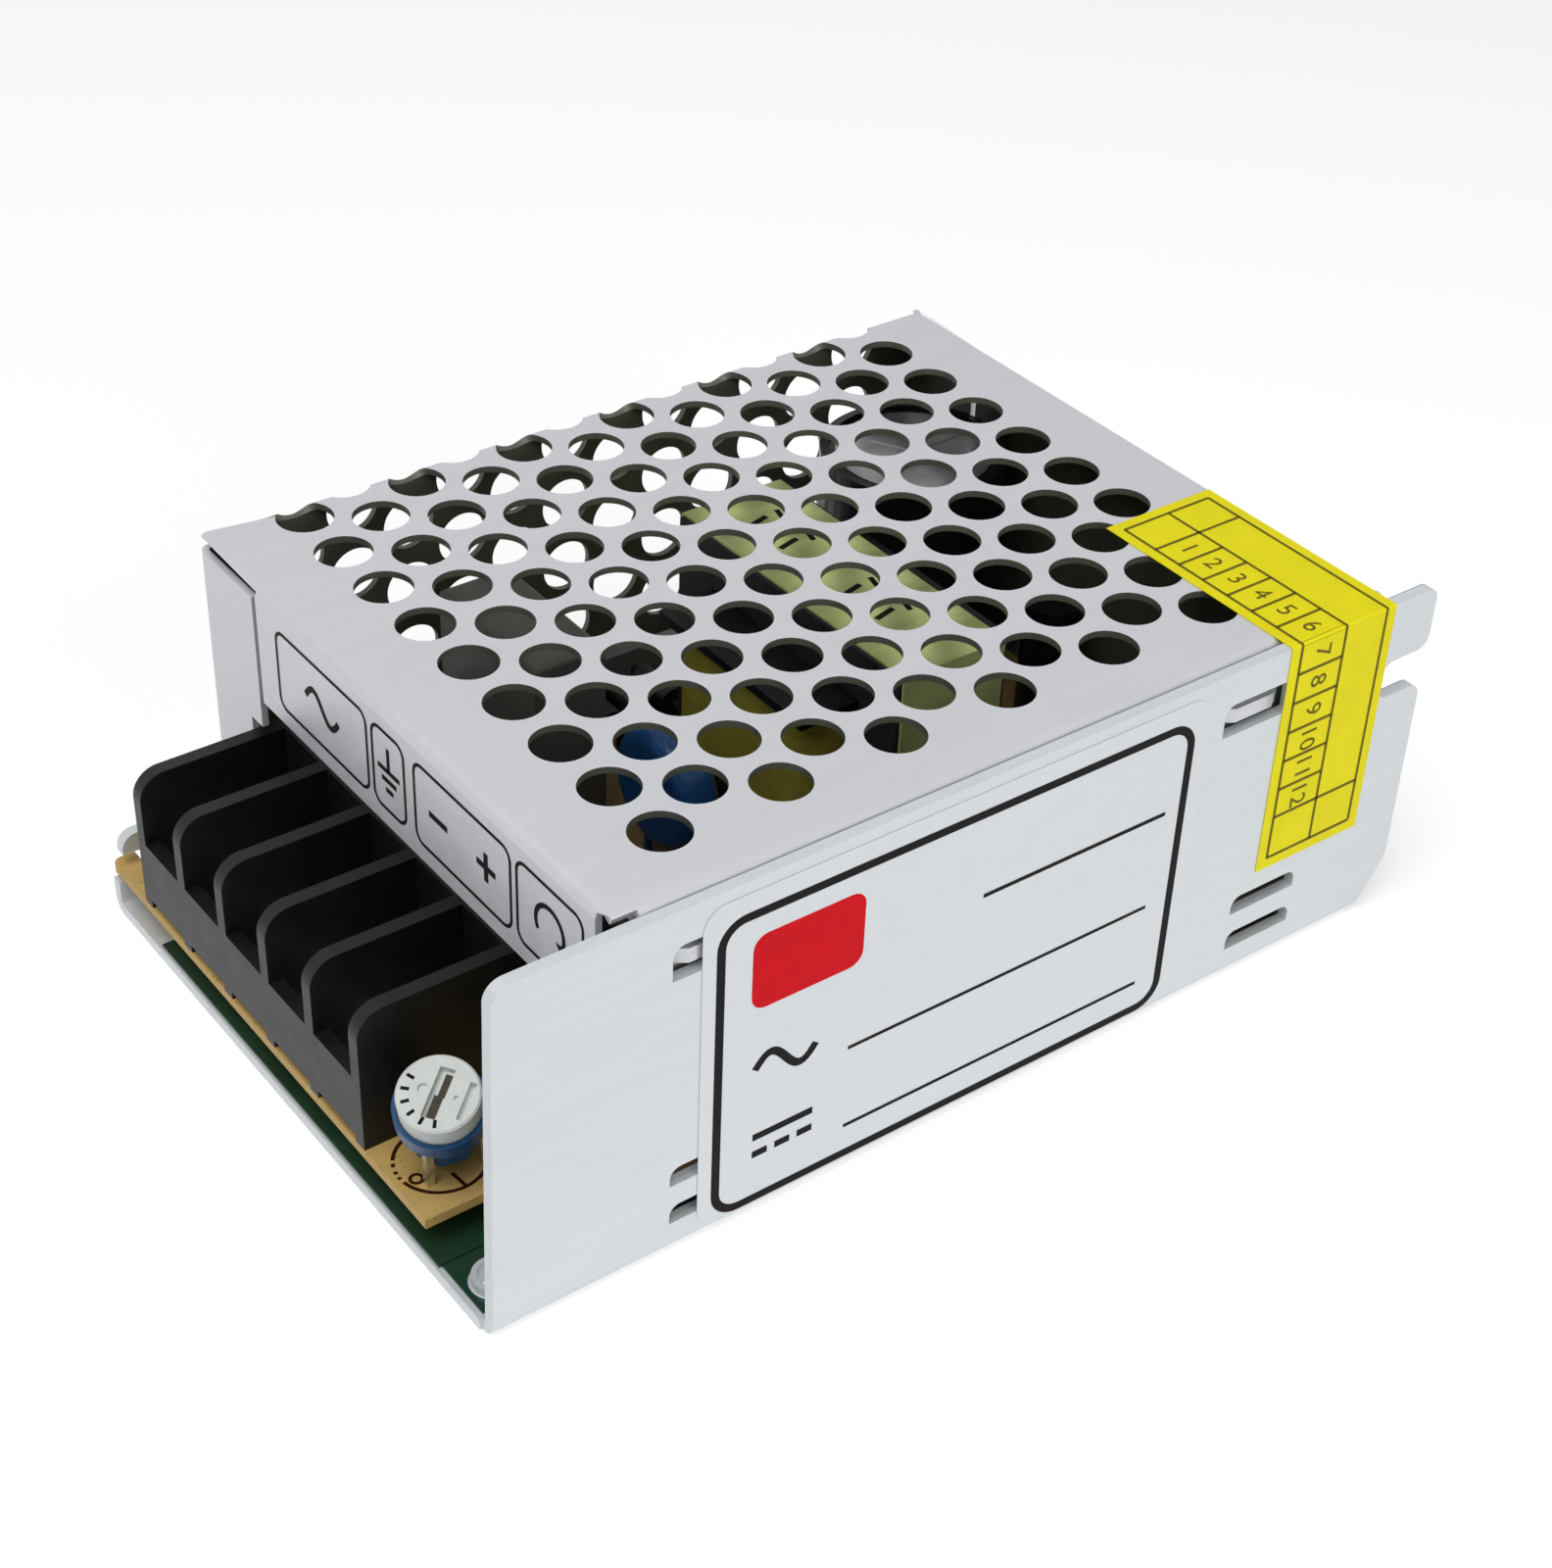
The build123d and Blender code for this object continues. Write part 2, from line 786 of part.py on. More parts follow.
def rotor_marks(top):
    """Cutters in the rotor's face: driver groove with its slits, wiper groove and two dimples."""
    slit_tool = Box(driver_slit, driver_slit_length, 2 * driver_slit_depth)
    cutters = [
        Box(groove_width, groove_length, 2 * groove_depth),
        Pos(driver_kink, driver_slit_length / 2, 0) * slit_tool,
        Pos(0, -driver_slit_length / 2, 0) * slit_tool,
        Pos(wiper_x, 0, 0) * Box(wiper_width, wiper_length, 2 * groove_depth),
        Pos(-groove_width, 0, 0) * Cylinder(dimple_radius, 2 * dimple_depth),
        Pos(groove_width + dimple_radius / 2, 0, 0) * Cylinder(dimple_radius / 2, 2 * dimple_depth),
    ]
    return [Pos(0, 0, top) * Rot(0, 0, rotor_turn) * cutter for cutter in cutters]


def make_trimmer_rotor():
    """White rotor with a driver groove and a wiper groove in its face."""
    up = (Align.CENTER, Align.CENTER, Align.MIN)
    seat = trimmer_base_height + trimmer_cup_height - rotor_sunk + rotor_clearance / 2
    top = seat + rotor_height
    disc = Pos(0, 0, seat) * Cylinder(rotor_radius, rotor_height, align=up)
    disc = chamfer(disc.edges().group_by(Axis.Z)[-1], rotor_edge)
    for cutter in rotor_marks(top):
        disc -= cutter
    disc += Pos(0, 0, seat - spindle_length) * Cylinder(spindle_radius, spindle_length + rotor_edge, align=up)
    return trimmer_frame() * disc


def make_trimmer_pins():
    """Three upright legs from the board to the base of the leaning body."""
    body = make_trimmer_body()
    half = trimmer_pin_width / 2
    top = board_top + trimmer_stand + trimmer_base_height
    pins = []
    for across, along in trimmer_pin_places:
        x, y = trimmer_x + across, trimmer_y + along
        pin = span(x - half, x + half, y - half, y + half, board_top, top) - body
        pins.append(pin.solids().sort_by(Axis.Z)[0])
    return Compound(pins)


# Transformer
def core_middle():
    """Middle of the transformer core."""
    z = room_z(core_foot + core_height / 2)
    return room_x(core_place[0]), room_y(core_place[1]), z


def core_frame_profile():
    """Front view of the core: one frame with two windows."""
    height, across = core_height * grid_z, core_span * grid_y
    window = (core_span - 2 * core_leg - core_middle_leg) / 2 * grid_y
    shift = (core_middle_leg * grid_y + window) / 2
    profile = Rectangle(across, height)
    for side in (-1, 1):
        profile -= Pos(side * shift, 0) * Rectangle(window, height - 2 * core_back * grid_z)
    return profile


def make_transformer_core():
    """Two E halves glued together."""
    body = extrude(Plane.YZ * core_frame_profile(), core_depth * grid_x / 2, both=True)
    return Pos(*core_middle()) * body


def bobbin_heights():
    """Underside of the lower flange and upper side of the upper one."""
    floor = room_z(core_foot + core_back) + bobbin_gap
    roof = room_z(core_foot + core_height - core_back) - bobbin_gap
    return floor, roof


def around_core(half_x, half_y, low, high):
    """Upright block centred on the core."""
    x, y, _ = core_middle()
    return span(x - half_x, x + half_x, y - half_y, y + half_y, low, high)


def tube_halves(gap):
    """Half sizes of a tube round the middle leg."""
    return core_depth * grid_x / 2 + gap, core_middle_leg * grid_y / 2 + gap


def flange_halves(inset):
    """Half sizes of a flange between the outer legs."""
    half_y = (core_span / 2 - core_leg) * grid_y - bobbin_side_gap
    return bobbin_length * grid_x / 2 - inset, half_y - inset


def make_transformer_bobbin():
    """Spool with two flanges and a pin rail at each end."""
    low, high = bobbin_heights()
    half_x, half_y = flange_halves(0)
    wall = bobbin_sheet
    body = around_core(half_x, half_y, low, low + wall) + around_core(half_x, half_y, high - wall, high)
    body += around_core(*tube_halves(bobbin_gap + wall), low, high)
    body -= around_core(*tube_halves(bobbin_gap), low - cut_past, high + cut_past)
    x, y, _ = core_middle()
    for start in (x - half_x, x + half_x - pin_rail):
        body += span(start, start + pin_rail, y - half_y, y + half_y, board_top, low + wall)
    return body


def make_transformer_winding():
    """Wound and taped coil between the flanges of the bobbin."""
    low, high = bobbin_heights()
    coil = around_core(*flange_halves(winding_inset), low + bobbin_sheet, high - bobbin_sheet)
    coil = fillet(coil.edges().filter_by(Axis.Z), winding_corner_radius)
    return coil - around_core(*tube_halves(bobbin_gap + bobbin_sheet), low, high)


def make_core_tape():
    """Band of tape wrapped round the outside of the core."""
    across, height = core_span * grid_y, core_height * grid_z
    band = Rectangle(across + 2 * tape_sheet, height + 2 * tape_sheet) - Rectangle(across, height)
    body = extrude(Plane.YZ * band, tape_width * grid_x / 2, both=True)
    return Pos(*core_middle()) * body


# Capacitors
def bead(radius, height):
    """Outline points of the groove rolled into a can."""
    return [(radius, height - can_bead), (radius - can_bead, height), (radius, height + can_bead)]


def make_bulk_capacitor():
    """Standing can with a bead near its foot and a rolled rim at its top."""
    radius, height = bulk_radius * round_scale, bulk_height * grid_z
    inner = radius - can_rim
    points = [(0, 0), (radius, 0), *bead(radius, bulk_bead_height), (radius, height), (inner, height)]
    points += [(inner, height - can_rim_drop), (0, height - can_rim_drop), (0, 0)]
    can = revolve(Plane.XZ * make_face(Polyline(*points)), Axis.Z)
    return Pos(room_x(bulk_place[0]), room_y(bulk_place[1]), board_top) * can


def make_output_capacitor():
    """Can lying along Y with its bead toward the far side."""
    radius, length = output_radius * round_scale, output_length * grid_y
    points = [(0, 0), (radius, 0), *bead(radius, length - output_bead_setback), (radius, length)]
    points += [(0, length), (0, 0)]
    can = revolve(Plane.XZ * make_face(Polyline(*points)), Axis.Z)
    return Pos(room_x(output_x), room_y(output_near), board_top + radius) * Rot(-90, 0, 0) * can


def make_film_capacitor():
    xs = [room_x(x) for x in film_capacitor_xs]
    ys = [room_y(y) for y in film_capacitor_ys]
    box = span(*xs, *ys, board_top, room_z(film_capacitor_top))
    return fillet(box.edges().group_by(Axis.Z)[-1], film_capacitor_edge)


def standing_disc(xs, middle, radius, edge, spread, leg):
    """Dipped disc standing on edge on two legs."""
    x0, x1 = room_x(xs[0]), room_x(xs[1])
    y, z = room_y(middle[0]), room_z(middle[1])
    disc = along_x(y, z, x0, x1, radius * round_scale)
    disc = fillet(disc.edges(), edge)
    for side in (-1, 1):
        foot = y + side * spread * round_scale
        disc += upright((x0 + x1) / 2, foot, board_top, room_z(leg), lead_radius)
    return disc


def make_disc_capacitor():
    return standing_disc(
        disc_capacitor_xs,
        disc_capacitor_middle,
        disc_capacitor_radius,
        disc_capacitor_edge,
        disc_capacitor_spread,
        disc_capacitor_leg,
    )


def make_supply_capacitor():
    """Small standing can that feeds the controller."""
    x, y = room_x(supply_capacitor_place[0]), room_y(supply_capacitor_place[1])
    radius = supply_capacitor_radius * round_scale
    return upright(x, y, board_top, room_z(supply_capacitor_height), radius)


# Line filter
def filter_middle():
    """Middle of the line filter in plan."""
    return room_x(filter_place[0]), room_y(filter_place[1])


def filter_limb_half():
    return filter_limb * round_scale / 2


def filter_limb_ys():
    """Middles of the two upright limbs."""
    y = filter_middle()[1]
    return [y + side * filter_spacing * grid_y / 2 for side in (-1, 1)]


def make_filter_core():
    """Upright ferrite ring that carries the two line windings."""
    x = filter_middle()[0]
    near, far = filter_limb_ys()
    half = filter_limb_half()
    low, high = board_top + filter_base, room_z(filter_top)
    outer = span(x - half, x + half, near - half, far + half, low, high)
    return outer - span(x - 2 * half, x + 2 * half, near + half, far - half, low + 2 * half, high - 2 * half)


def make_filter_winding():
    """Two copper windings on the upright limbs."""
    x = filter_middle()[0]
    half = filter_limb_half()
    low = board_top + filter_base + 2 * half + filter_coil_gap
    high = room_z(filter_top) - 2 * half - filter_coil_gap
    coils = []
    for y in filter_limb_ys():
        coil = upright(x, y, low, high, filter_coil_radius * round_scale)
        coils.append(coil - span(x - half, x + half, y - half, y + half, low - cut_past, high + cut_past))
    return Compound(coils)


def make_filter_base():
    """Plastic plate between the ferrite ring and the board."""
    x, y = filter_middle()
    half_x, half_y = filter_base_length * grid_x / 2, filter_base_width * grid_y / 2
    return span(x - half_x, x + half_x, y - half_y, y + half_y, board_top, board_top + filter_base)


# Fuse, thermistor, diodes and resistors
def leaded_body(x, y, length, radius, lift):
    """Axial part lying along Y with its two legs bent down to the board."""
    x, y, z = room_x(x), room_y(y), board_top + lift
    half = length * grid_y / 2
    body = along_y(x, z, y - half, y + half, radius * round_scale)
    for side in (-1, 1):
        end = y + side * (half + lead_out)
        body += along_y(x, z, min(y, end), max(y, end), lead_radius)
        body += upright(x, end, board_top, z + lead_radius, lead_radius)
    return body


def make_fuse():
    """Glass fuse lying along X with metal end caps."""
    y, z = room_y(fuse_y), board_top + fuse_lift
    body = along_x(y, z, room_x(fuse_tube[0]), room_x(fuse_tube[1]), fuse_radius * round_scale)
    for start, end in fuse_caps:
        body += along_x(y, z, room_x(start), room_x(end), fuse_cap_radius * round_scale)
    for x in fuse_legs:
        body += upright(room_x(x), y, board_top, z, fuse_leg_radius)
    return body


def make_thermistor():
    return standing_disc(
        thermistor_xs,
        thermistor_middle,
        thermistor_radius,
        thermistor_edge,
        thermistor_spread,
        thermistor_leg,
    )


def make_rectifier_diodes():
    """Four bridge diodes side by side."""
    parts = []
    for n in range(diode_count):
        x = first_diode_x + diode_step * n
        parts.append(leaded_body(x, diode_y, diode_length, diode_radius, diode_lift))
    return Compound(parts)


def make_resistors():
    """Leaded resistors along the near side."""
    parts = []
    for n in range(resistor_count):
        x = first_resistor_x + resistor_step * n
        parts.append(leaded_body(x, resistor_y, resistor_length, resistor_radius, resistor_lift))
    return Compound(parts)


# Power devices on the long wall
def device_bore(x):
    """Cutter for the screw hole through a device and its pad."""
    return along_y(x, room_z(device_hole), 0, device_body_depth + 2 * wall_inside, device_hole_radius)


def power_device(x):
    """Flat transistor package, metal tab against the wall, three legs into the board."""
    x = room_x(x)
    back = wall_inside + pad_sheet
    half = device_width * grid_x / 2
    foot, head = room_z(device_foot), room_z(device_foot + device_body_height)
    part = span(x - half, x + half, back, back + device_tab, foot, room_z(device_tab_top))
    part += span(x - half, x + half, back, back + device_body_depth, foot, head)
    front = back + device_leg_front
    for n in (-1, 0, 1):
        left = x + n * device_leg_pitch - device_leg_width / 2
        part += span(left, left + device_leg_width, front, front + device_leg_sheet, board_top, foot)
    return part - device_bore(x)


def make_device_pads():
    """Thin insulating pads between the power devices and the wall."""
    half = device_width * grid_x / 2 + pad_margin
    low, high = room_z(device_foot) - pad_margin, room_z(device_tab_top) + pad_margin
    pads = []
    for x in device_xs:
        x = room_x(x)
        pad = span(x - half, x + half, wall_inside, wall_inside + pad_sheet, low, high)
        pads.append(pad - device_bore(x))
    return Compound(pads)


def make_device_screws():
    """Screws that hold the power devices to the wall."""
    seat = wall_inside + pad_sheet + device_tab
    head = device_screw_head_radius * round_scale
    screws = []
    for x in device_xs:
        screw = pan_screw(head, device_screw_head_height, device_screw_radius, seat - device_screw_short)
        screws.append(Pos(room_x(x), seat, room_z(device_hole)) * Rot(-90, 0, 0) * screw)
    return Compound(screws)


# Chips and output choke
def dual_in_line(spot, length, pins):
    """Moulded chip body on two rows of legs."""
    x, y = room_x(spot[0]), room_y(spot[1])
    half_x, half_y = length * grid_x / 2, chip_width * grid_y / 2
    foot = board_top + chip_foot
    body = span(x - half_x, x + half_x, y - half_y, y + half_y, foot, foot + chip_height)
    body = chamfer(body.edges().group_by(Axis.Z)[-1], chip_chamfer)
    for n in range(pins):
        left = x + (n - (pins - 1) / 2) * chip_pitch - chip_leg_width / 2
        for near in (y - half_y - chip_leg_sheet, y + half_y):
            leg = (left, left + chip_leg_width, near, near + chip_leg_sheet)
            body += span(*leg, board_top, foot + chip_height / 2)
    return body


def make_output_choke_core():
    """Ferrite drum between two flanges."""
    x, y = room_x(choke_place[0]), room_y(choke_place[1])
    radius = choke_radius * round_scale
    top = room_z(choke_height)
    body = upright(x, y, board_top, top, choke_drum_radius * round_scale)
    body += upright(x, y, board_top, board_top + choke_flange, radius)
    return body + upright(x, y, top - choke_flange, top, radius)


def make_output_choke_winding():
    x, y = room_x(choke_place[0]), room_y(choke_place[1])
    low = board_top + choke_flange + choke_gap
    high = room_z(choke_height) - choke_flange - choke_gap
    ring = upright(x, y, low, high, choke_winding_radius * round_scale)
    return ring - upright(x, y, board_top, high + cut_past, choke_drum_radius * round_scale + choke_gap)


def place(node):
    """Move from the front-edge coordinates to the shared frame, and write the file."""
    name, shape = node
    moved = Pos(-case_length / 2, -case_width / 2, 0) * shape
    export_step(moved, f"parts/{name}.step")


def main():
    os.makedirs("parts", exist_ok=True)
    nodes = [
        ("chassis", make_chassis()),
        ("perforated_cover", make_cover()),
        ("insulating_sheet", make_insulating_sheet()),
        ("circuit_board", make_circuit_board()),
        ("board_screw", make_board_screw()),
        ("terminal_block", make_terminal_block()),
        ("trimmer_body", make_trimmer_body()),
        ("trimmer_rotor", make_trimmer_rotor()),
        ("trimmer_pins", make_trimmer_pins()),
        ("transformer_core", make_transformer_core()),
        ("transformer_bobbin", make_transformer_bobbin()),
        ("transformer_winding", make_transformer_winding()),
        ("core_tape", make_core_tape()),
        ("bulk_capacitor", make_bulk_capacitor()),
        ("output_capacitor", make_output_capacitor()),
        ("film_capacitor", make_film_capacitor()),
        ("disc_capacitor", make_disc_capacitor()),
        ("supply_capacitor", make_supply_capacitor()),
        ("line_filter_core", make_filter_core()),
        ("line_filter_winding", make_filter_winding()),
        ("line_filter_base", make_filter_base()),
        ("fuse", make_fuse()),
        ("inrush_thermistor", make_thermistor()),
        ("rectifier_diodes", make_rectifier_diodes()),
        ("resistors", make_resistors()),
        ("output_rectifier", power_device(device_xs[0])),
        ("switch_transistor", power_device(device_xs[1])),
        ("device_pads", make_device_pads()),
        ("device_screws", make_device_screws()),
        ("controller_chip", dual_in_line(controller_place, controller_length, controller_pins)),
        ("optocoupler", dual_in_line(optocoupler_place, optocoupler_length, optocoupler_pins)),
        ("output_choke_core", make_output_choke_core()),
        ("output_choke_winding", make_output_choke_winding()),
    ]
    for pole in range(1, pole_count + 1):
        nodes.append((f"terminal_contact_{pole}", make_contact(pole)))
        nodes.append((f"clamp_plate_{pole}", make_clamp(pole)))
        nodes.append((f"terminal_screw_{pole}", make_terminal_screw(pole)))
    for node in nodes:
        place(node)


main()
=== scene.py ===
import json
import math

import bmesh
import bpy
from mathutils import Matrix, Vector


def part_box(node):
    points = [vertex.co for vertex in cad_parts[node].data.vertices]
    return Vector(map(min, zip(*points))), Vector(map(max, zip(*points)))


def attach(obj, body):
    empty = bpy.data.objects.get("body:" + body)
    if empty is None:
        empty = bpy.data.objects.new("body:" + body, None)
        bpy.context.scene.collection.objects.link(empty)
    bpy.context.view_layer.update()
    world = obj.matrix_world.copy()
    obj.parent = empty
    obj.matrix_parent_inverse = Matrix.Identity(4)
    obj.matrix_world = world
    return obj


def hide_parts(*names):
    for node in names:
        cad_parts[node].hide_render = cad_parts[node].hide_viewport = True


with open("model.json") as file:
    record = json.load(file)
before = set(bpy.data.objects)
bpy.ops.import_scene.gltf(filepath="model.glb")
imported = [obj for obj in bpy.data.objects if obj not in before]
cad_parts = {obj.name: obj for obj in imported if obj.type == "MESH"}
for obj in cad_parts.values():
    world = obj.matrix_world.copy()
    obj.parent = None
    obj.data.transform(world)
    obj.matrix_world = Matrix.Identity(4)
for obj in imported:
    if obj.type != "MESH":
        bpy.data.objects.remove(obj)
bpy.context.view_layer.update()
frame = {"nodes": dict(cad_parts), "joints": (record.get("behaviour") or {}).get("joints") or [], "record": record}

# Places are in millimetres from the front lower corner of the long wall
MM = 0.001
corner = Vector(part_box("chassis")[0])
band_gap = 0.03
paper = 0.06
ink = 0.02
print_gap = 0.01
print_top = 0.03
weld = 1e-8

# Bars: shortest step of a line, least length of two summed directions and limit of a mitre
shortest_step = 1e-6
least_sum = 1e-3
mitre_limit = 0.4

# Perforated cover: one sheet, cut flat and folded
sheet = 0.55
sheet_bend = 0.9
sheet_near = 1.2
sheet_far = 57.85
sheet_foot = 0.6
sheet_weld = 1e-5
hole_radius = 2.25
hole_pitch_x, hole_pitch_y = 4.95, 6.0
first_hole_x, first_hole_y = 18.7, 7.63
hole_columns = 12
hole_steps = 48
fold_steps = 6
fold_stop_share = 0.6
crease_angle = 35
strip_ends = (3.2, 48.7)
strip_drop = 10.2
rear_foot = 1.3
end_flange_edge = 49.3
block_edge = 51.05
block_clear = 17.5
lip_clear = 7.6
near_drop = 7.3
relief_length, relief_depth = 2.2, 0.65
corner_slit = 0.2

# Lugs pushed out of the near flange
lug_starts = (14.5, 63.3)
lug_length = 6.8
lug_end_gap = 0.4
lug_seat = 0.05
lug_slope = 1.2
lug_out = 0.8
lug_height = 1.2
lug_window = 0.5
lug_middle = 25.9

# Flap of film beside the wall, with a hole for the collar of the base
base_top = 1.0
flap_front, flap_rear = 0.45, 14.0
flap_near, flap_far = 1.7, 6.95
flap_thickness = 0.15
flap_cut_half = 0.03
flap_cut_angle = 1
flap_steps = 36
collar_middle = (2.75, 3.8)
collar_clear = 1.9

# Rating plate on the long wall
plate_left, plate_right = 16.8, 61.7
plate_foot, plate_head = 0.9, 29.3
plate_corner = 1.9
rule_left, rule_right = 18.3, 60.0
rule_foot, rule_head = 1.5, 27.4
rule_corner = 2.0
rule_corner_steps = 8
rule_width = 0.7
badge_left, badge_right = 20.9, 30.3
badge_foot, badge_head = 19.0, 25.4
badge_corner = 1.2

# Bars of the rating plate: left, right, height and width
plate_bars = ((41.0, 58.3, 20.0, 0.35), (29.5, 57.6, 11.6, 0.3), (29.5, 57.6, 4.2, 0.3))

# Alternating and direct current symbols of the rating plate
symbol_left, symbol_right = 21.4, 26.6
wave_middle, wave_rise, wave_width = 13.6, 1.1, 0.65
direct_height, dash_height = 7.3, 5.7
direct_width = 0.6
dash_count, dash_length, dash_pitch = 3, 1.3, 1.95

# Marks on the front strip, counted from the far side
strip_foot, strip_head = 21.6, 28.4
strip_frames = ((45.7, 32.5), (31.7, 27.3), (25.9, 13.4), (12.6, 4.6))
strip_corner = 1.0
strip_line = 0.28
heavy_line, fine_line = 0.5, 0.4
strip_wave_half, strip_wave_rise = 2.4, 1.0
earth_head, earth_foot = 2.1, 0.1
earth_halves = (1.5, 1.0, 0.5)
earth_pitch = 0.85
minus_share, plus_share = 0.25, 0.75
sign_half = 1.2
sign_step = 0.004
turn_radius = 1.7
turn_start, turn_end = 210, -20
turn_tip = ((-0.9, 0.0), (0.1, -1.0), (0.8, 0.2))

# Seal band over the top and down the wall
seal_left, seal_right = 69.4, 80.3
seal_far = 20.3
seal_foot = 9.7
seal_bend = 0.05
seal_fold_steps = 6
seal_line = 0.26
seal_margin = 1.0
seal_first = 4.5
seal_cells = 12
seal_split = 5.6
seal_digit = 2.3

# Print on the board round the trimmer
ring_middle = (4.15, 13.1)
ring_radius = 3.33
ring_arcs = ((112, 148), (154, 160), (168, 173), (179, 183), (190, 430))
ring_steps = 40
ring_line = 0.28
ring_tick = [(4.08, 11.45), (4.23, 9.84)]
pin_mark_middle = (1.76, 12.35)
pin_mark_radius, pin_mark_line, pin_mark_steps = 0.45, 0.25, 14

# Print on the sleeve of the lying capacitor
stripe_run, stripe_start, stripe_points, stripe_line = 3.9, 2.0, 19, 0.45
sleeve_bar_first, sleeve_bar_pitch, sleeve_bars = 4.0, 4.6, 4
sleeve_bar_step, sleeve_bar_half, sleeve_bar_line = 0.8, 2, 0.8

# Scored top of the standing capacitor
can_sink, can_rim, can_plate = 0.4, 1.3, 0.15
can_steps = 40
score_angles = (0, 60, 120)
score_half, score_line = 4.6, 0.35
score_top, score_step = 0.22, 0.0002

# Strokes along the tape of the transformer
stroke_first, stroke_pitch, stroke_count = 3.5, 4.1, 6
strokes = (((-1.6, 0.0), (0.4, 0.5), 0.5), ((1.4, -0.4), (1.7, 0.9), 0.45))

# Ticks on the dial, and the dark bottom of its driver slot
tick_first, tick_last, tick_step = 150, 270, 24
tick_inner, tick_outer = 2.0, 2.6
tick_line, tick_top = 0.25, 0.02
slot_turn = -15.0
slot_width = 0.62
slot_arms = ((0.22, 0.0, 1.7), (0.0, -1.7, 0.001))
slot_low, slot_high = -0.55, -0.50

# Where the painted shade of the closed part starts, behind the front edge and inside the wall
inside_shade_start, inside_shade_fade = 11.5, 3.0
shade_skin_depth, shade_skin_fade = 0.9, 0.05

# Grain and relief that all surfaces share
rolled = (0.12, 1.0, 1.0)
mottle_detail, fine_detail, speck_detail = 4.0, 3.0, 2.0
mottle_low, mottle_high = 0.3, 0.7
speck_edge = 0.04
gloss_spread = 0.08
gloss_least = 0.02
relief_height = 0.1

# Camera, with its place in millimetres and its focal length in pixels
camera_place = (-64.994, -112.309, 141.086)
camera_yaw = 0.91040
camera_pitch = 0.63031
camera_roll = 0.04121
camera_focal = 2848.35
camera_nearest = 0.005
image_width = 1584
sensor_width = 36.0

# Floor and light, in metres and watts
floor_half = 2.0
floor_drop = 0.00005
floor_colour = (0.8, 0.8, 0.8, 1.0)
floor_roughness = 0.9
floor_glow = 0.47
sky_light, sky_seen = 0.28, 1.0
lamp_aim = (0, 0, 0.01)
lamp_size = 0.40
lamps = (("key", (-0.25, -0.10, 0.55), 2.0), ("fill", (0.10, -0.55, 0.25), 1.1))


def at(x, y, z):
    """Frame position of a place given in millimetres from the corner."""
    return corner + Vector((x, y, z)) * MM


def ends_of(box):
    """Lowest and highest place of a box, in millimetres from the corner."""
    return [(Vector(v) - corner) / MM for v in box]


def face(origin, right, up):
    """Maps flat millimetres (u, v) and a lift w on to a plane of the object."""
    right, up = Vector(right), Vector(up)
    out = right.cross(up)

    def place(u, v, w):
        return origin + (right * u + up * v + out * w) * MM

    return place


cover_low, cover_high = ends_of(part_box("perforated_cover"))
cover_top = cover_high.z
board_top = ends_of(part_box("circuit_board"))[1].z
wall_face = face(at(0, 0, 0), (1, 0, 0), (0, 0, 1))
strip_face = face(at(cover_low.x, 0, 0), (0, -1, 0), (0, 0, 1))
board_face = face(at(0, 0, board_top), (1, 0, 0), (0, 1, 0))


# Flat shapes in millimetres
def rounded(left, foot, right, head, radius, steps=6):
    """Outline of a rectangle with round corners."""
    points = []
    corners = ((right, head, 0), (left, head, 90), (left, foot, 180), (right, foot, 270))
    for x, y, start in corners:
        cx = x - radius if x == right else x + radius
        cy = y - radius if y == head else y + radius
        for n in range(steps + 1):
            angle = math.radians(start + 90 * n / steps)
            points.append((cx + radius * math.cos(angle), cy + radius * math.sin(angle)))
    return points


def arc(cx, cy, radius, start, end, steps=24):
    """Points along an arc, in degrees."""
    angles = [math.radians(start + (end - start) * n / steps) for n in range(steps + 1)]
    return [(cx + radius * math.cos(a), cy + radius * math.sin(a)) for a in angles]


def ring(cx, cy, radius, steps):
    """Points round a full circle."""
    return arc(cx, cy, radius, 0, 360, steps)[:-1]


def sine(left, right, middle, height, steps=20):
    """Points along one wave."""
    return [
        (left + (right - left) * n / steps, middle + height * math.sin(2 * math.pi * n / steps))
        for n in range(steps + 1)
    ]


# Solids built on a mapped surface
def add_plate(mesh, place, outline, low, high):
    """Closed plate between two lifts."""
    under = [mesh.verts.new(place(u, v, low)) for u, v in outline]
    over = [mesh.verts.new(place(u, v, high)) for u, v in outline]
    count = len(outline)
    mesh.faces.new(over)
    mesh.faces.new(list(reversed(under)))
    for n in range(count):
        m = (n + 1) % count
        mesh.faces.new((under[n], under[m], over[m], over[n]))


def add_walls(mesh, a, b):
    """Four faces between two rows of four corners."""
    for k in range(4):
        m = (k + 1) % 4
        mesh.faces.new((a[k], a[m], b[m], b[k]))


def bar_corners(point, before, after, width, low, high):
    """Corners of a bar's cross-section at a point of its line, mitred between its neighbours."""
    into = (point - before).normalized() if (point - before).length > shortest_step else None
    out = (after - point).normalized() if (after - point).length > shortest_step else None
    along = (into or out) + (out or into)
    along = along.normalized() if along.length > least_sum else (out or into)
    side = Vector((-along.y, along.x))
    reach = width / 2 / max((into or out).dot(along), mitre_limit)
    left, right = point + side * reach, point - side * reach
    return (left, low), (right, low), (right, high), (left, high)


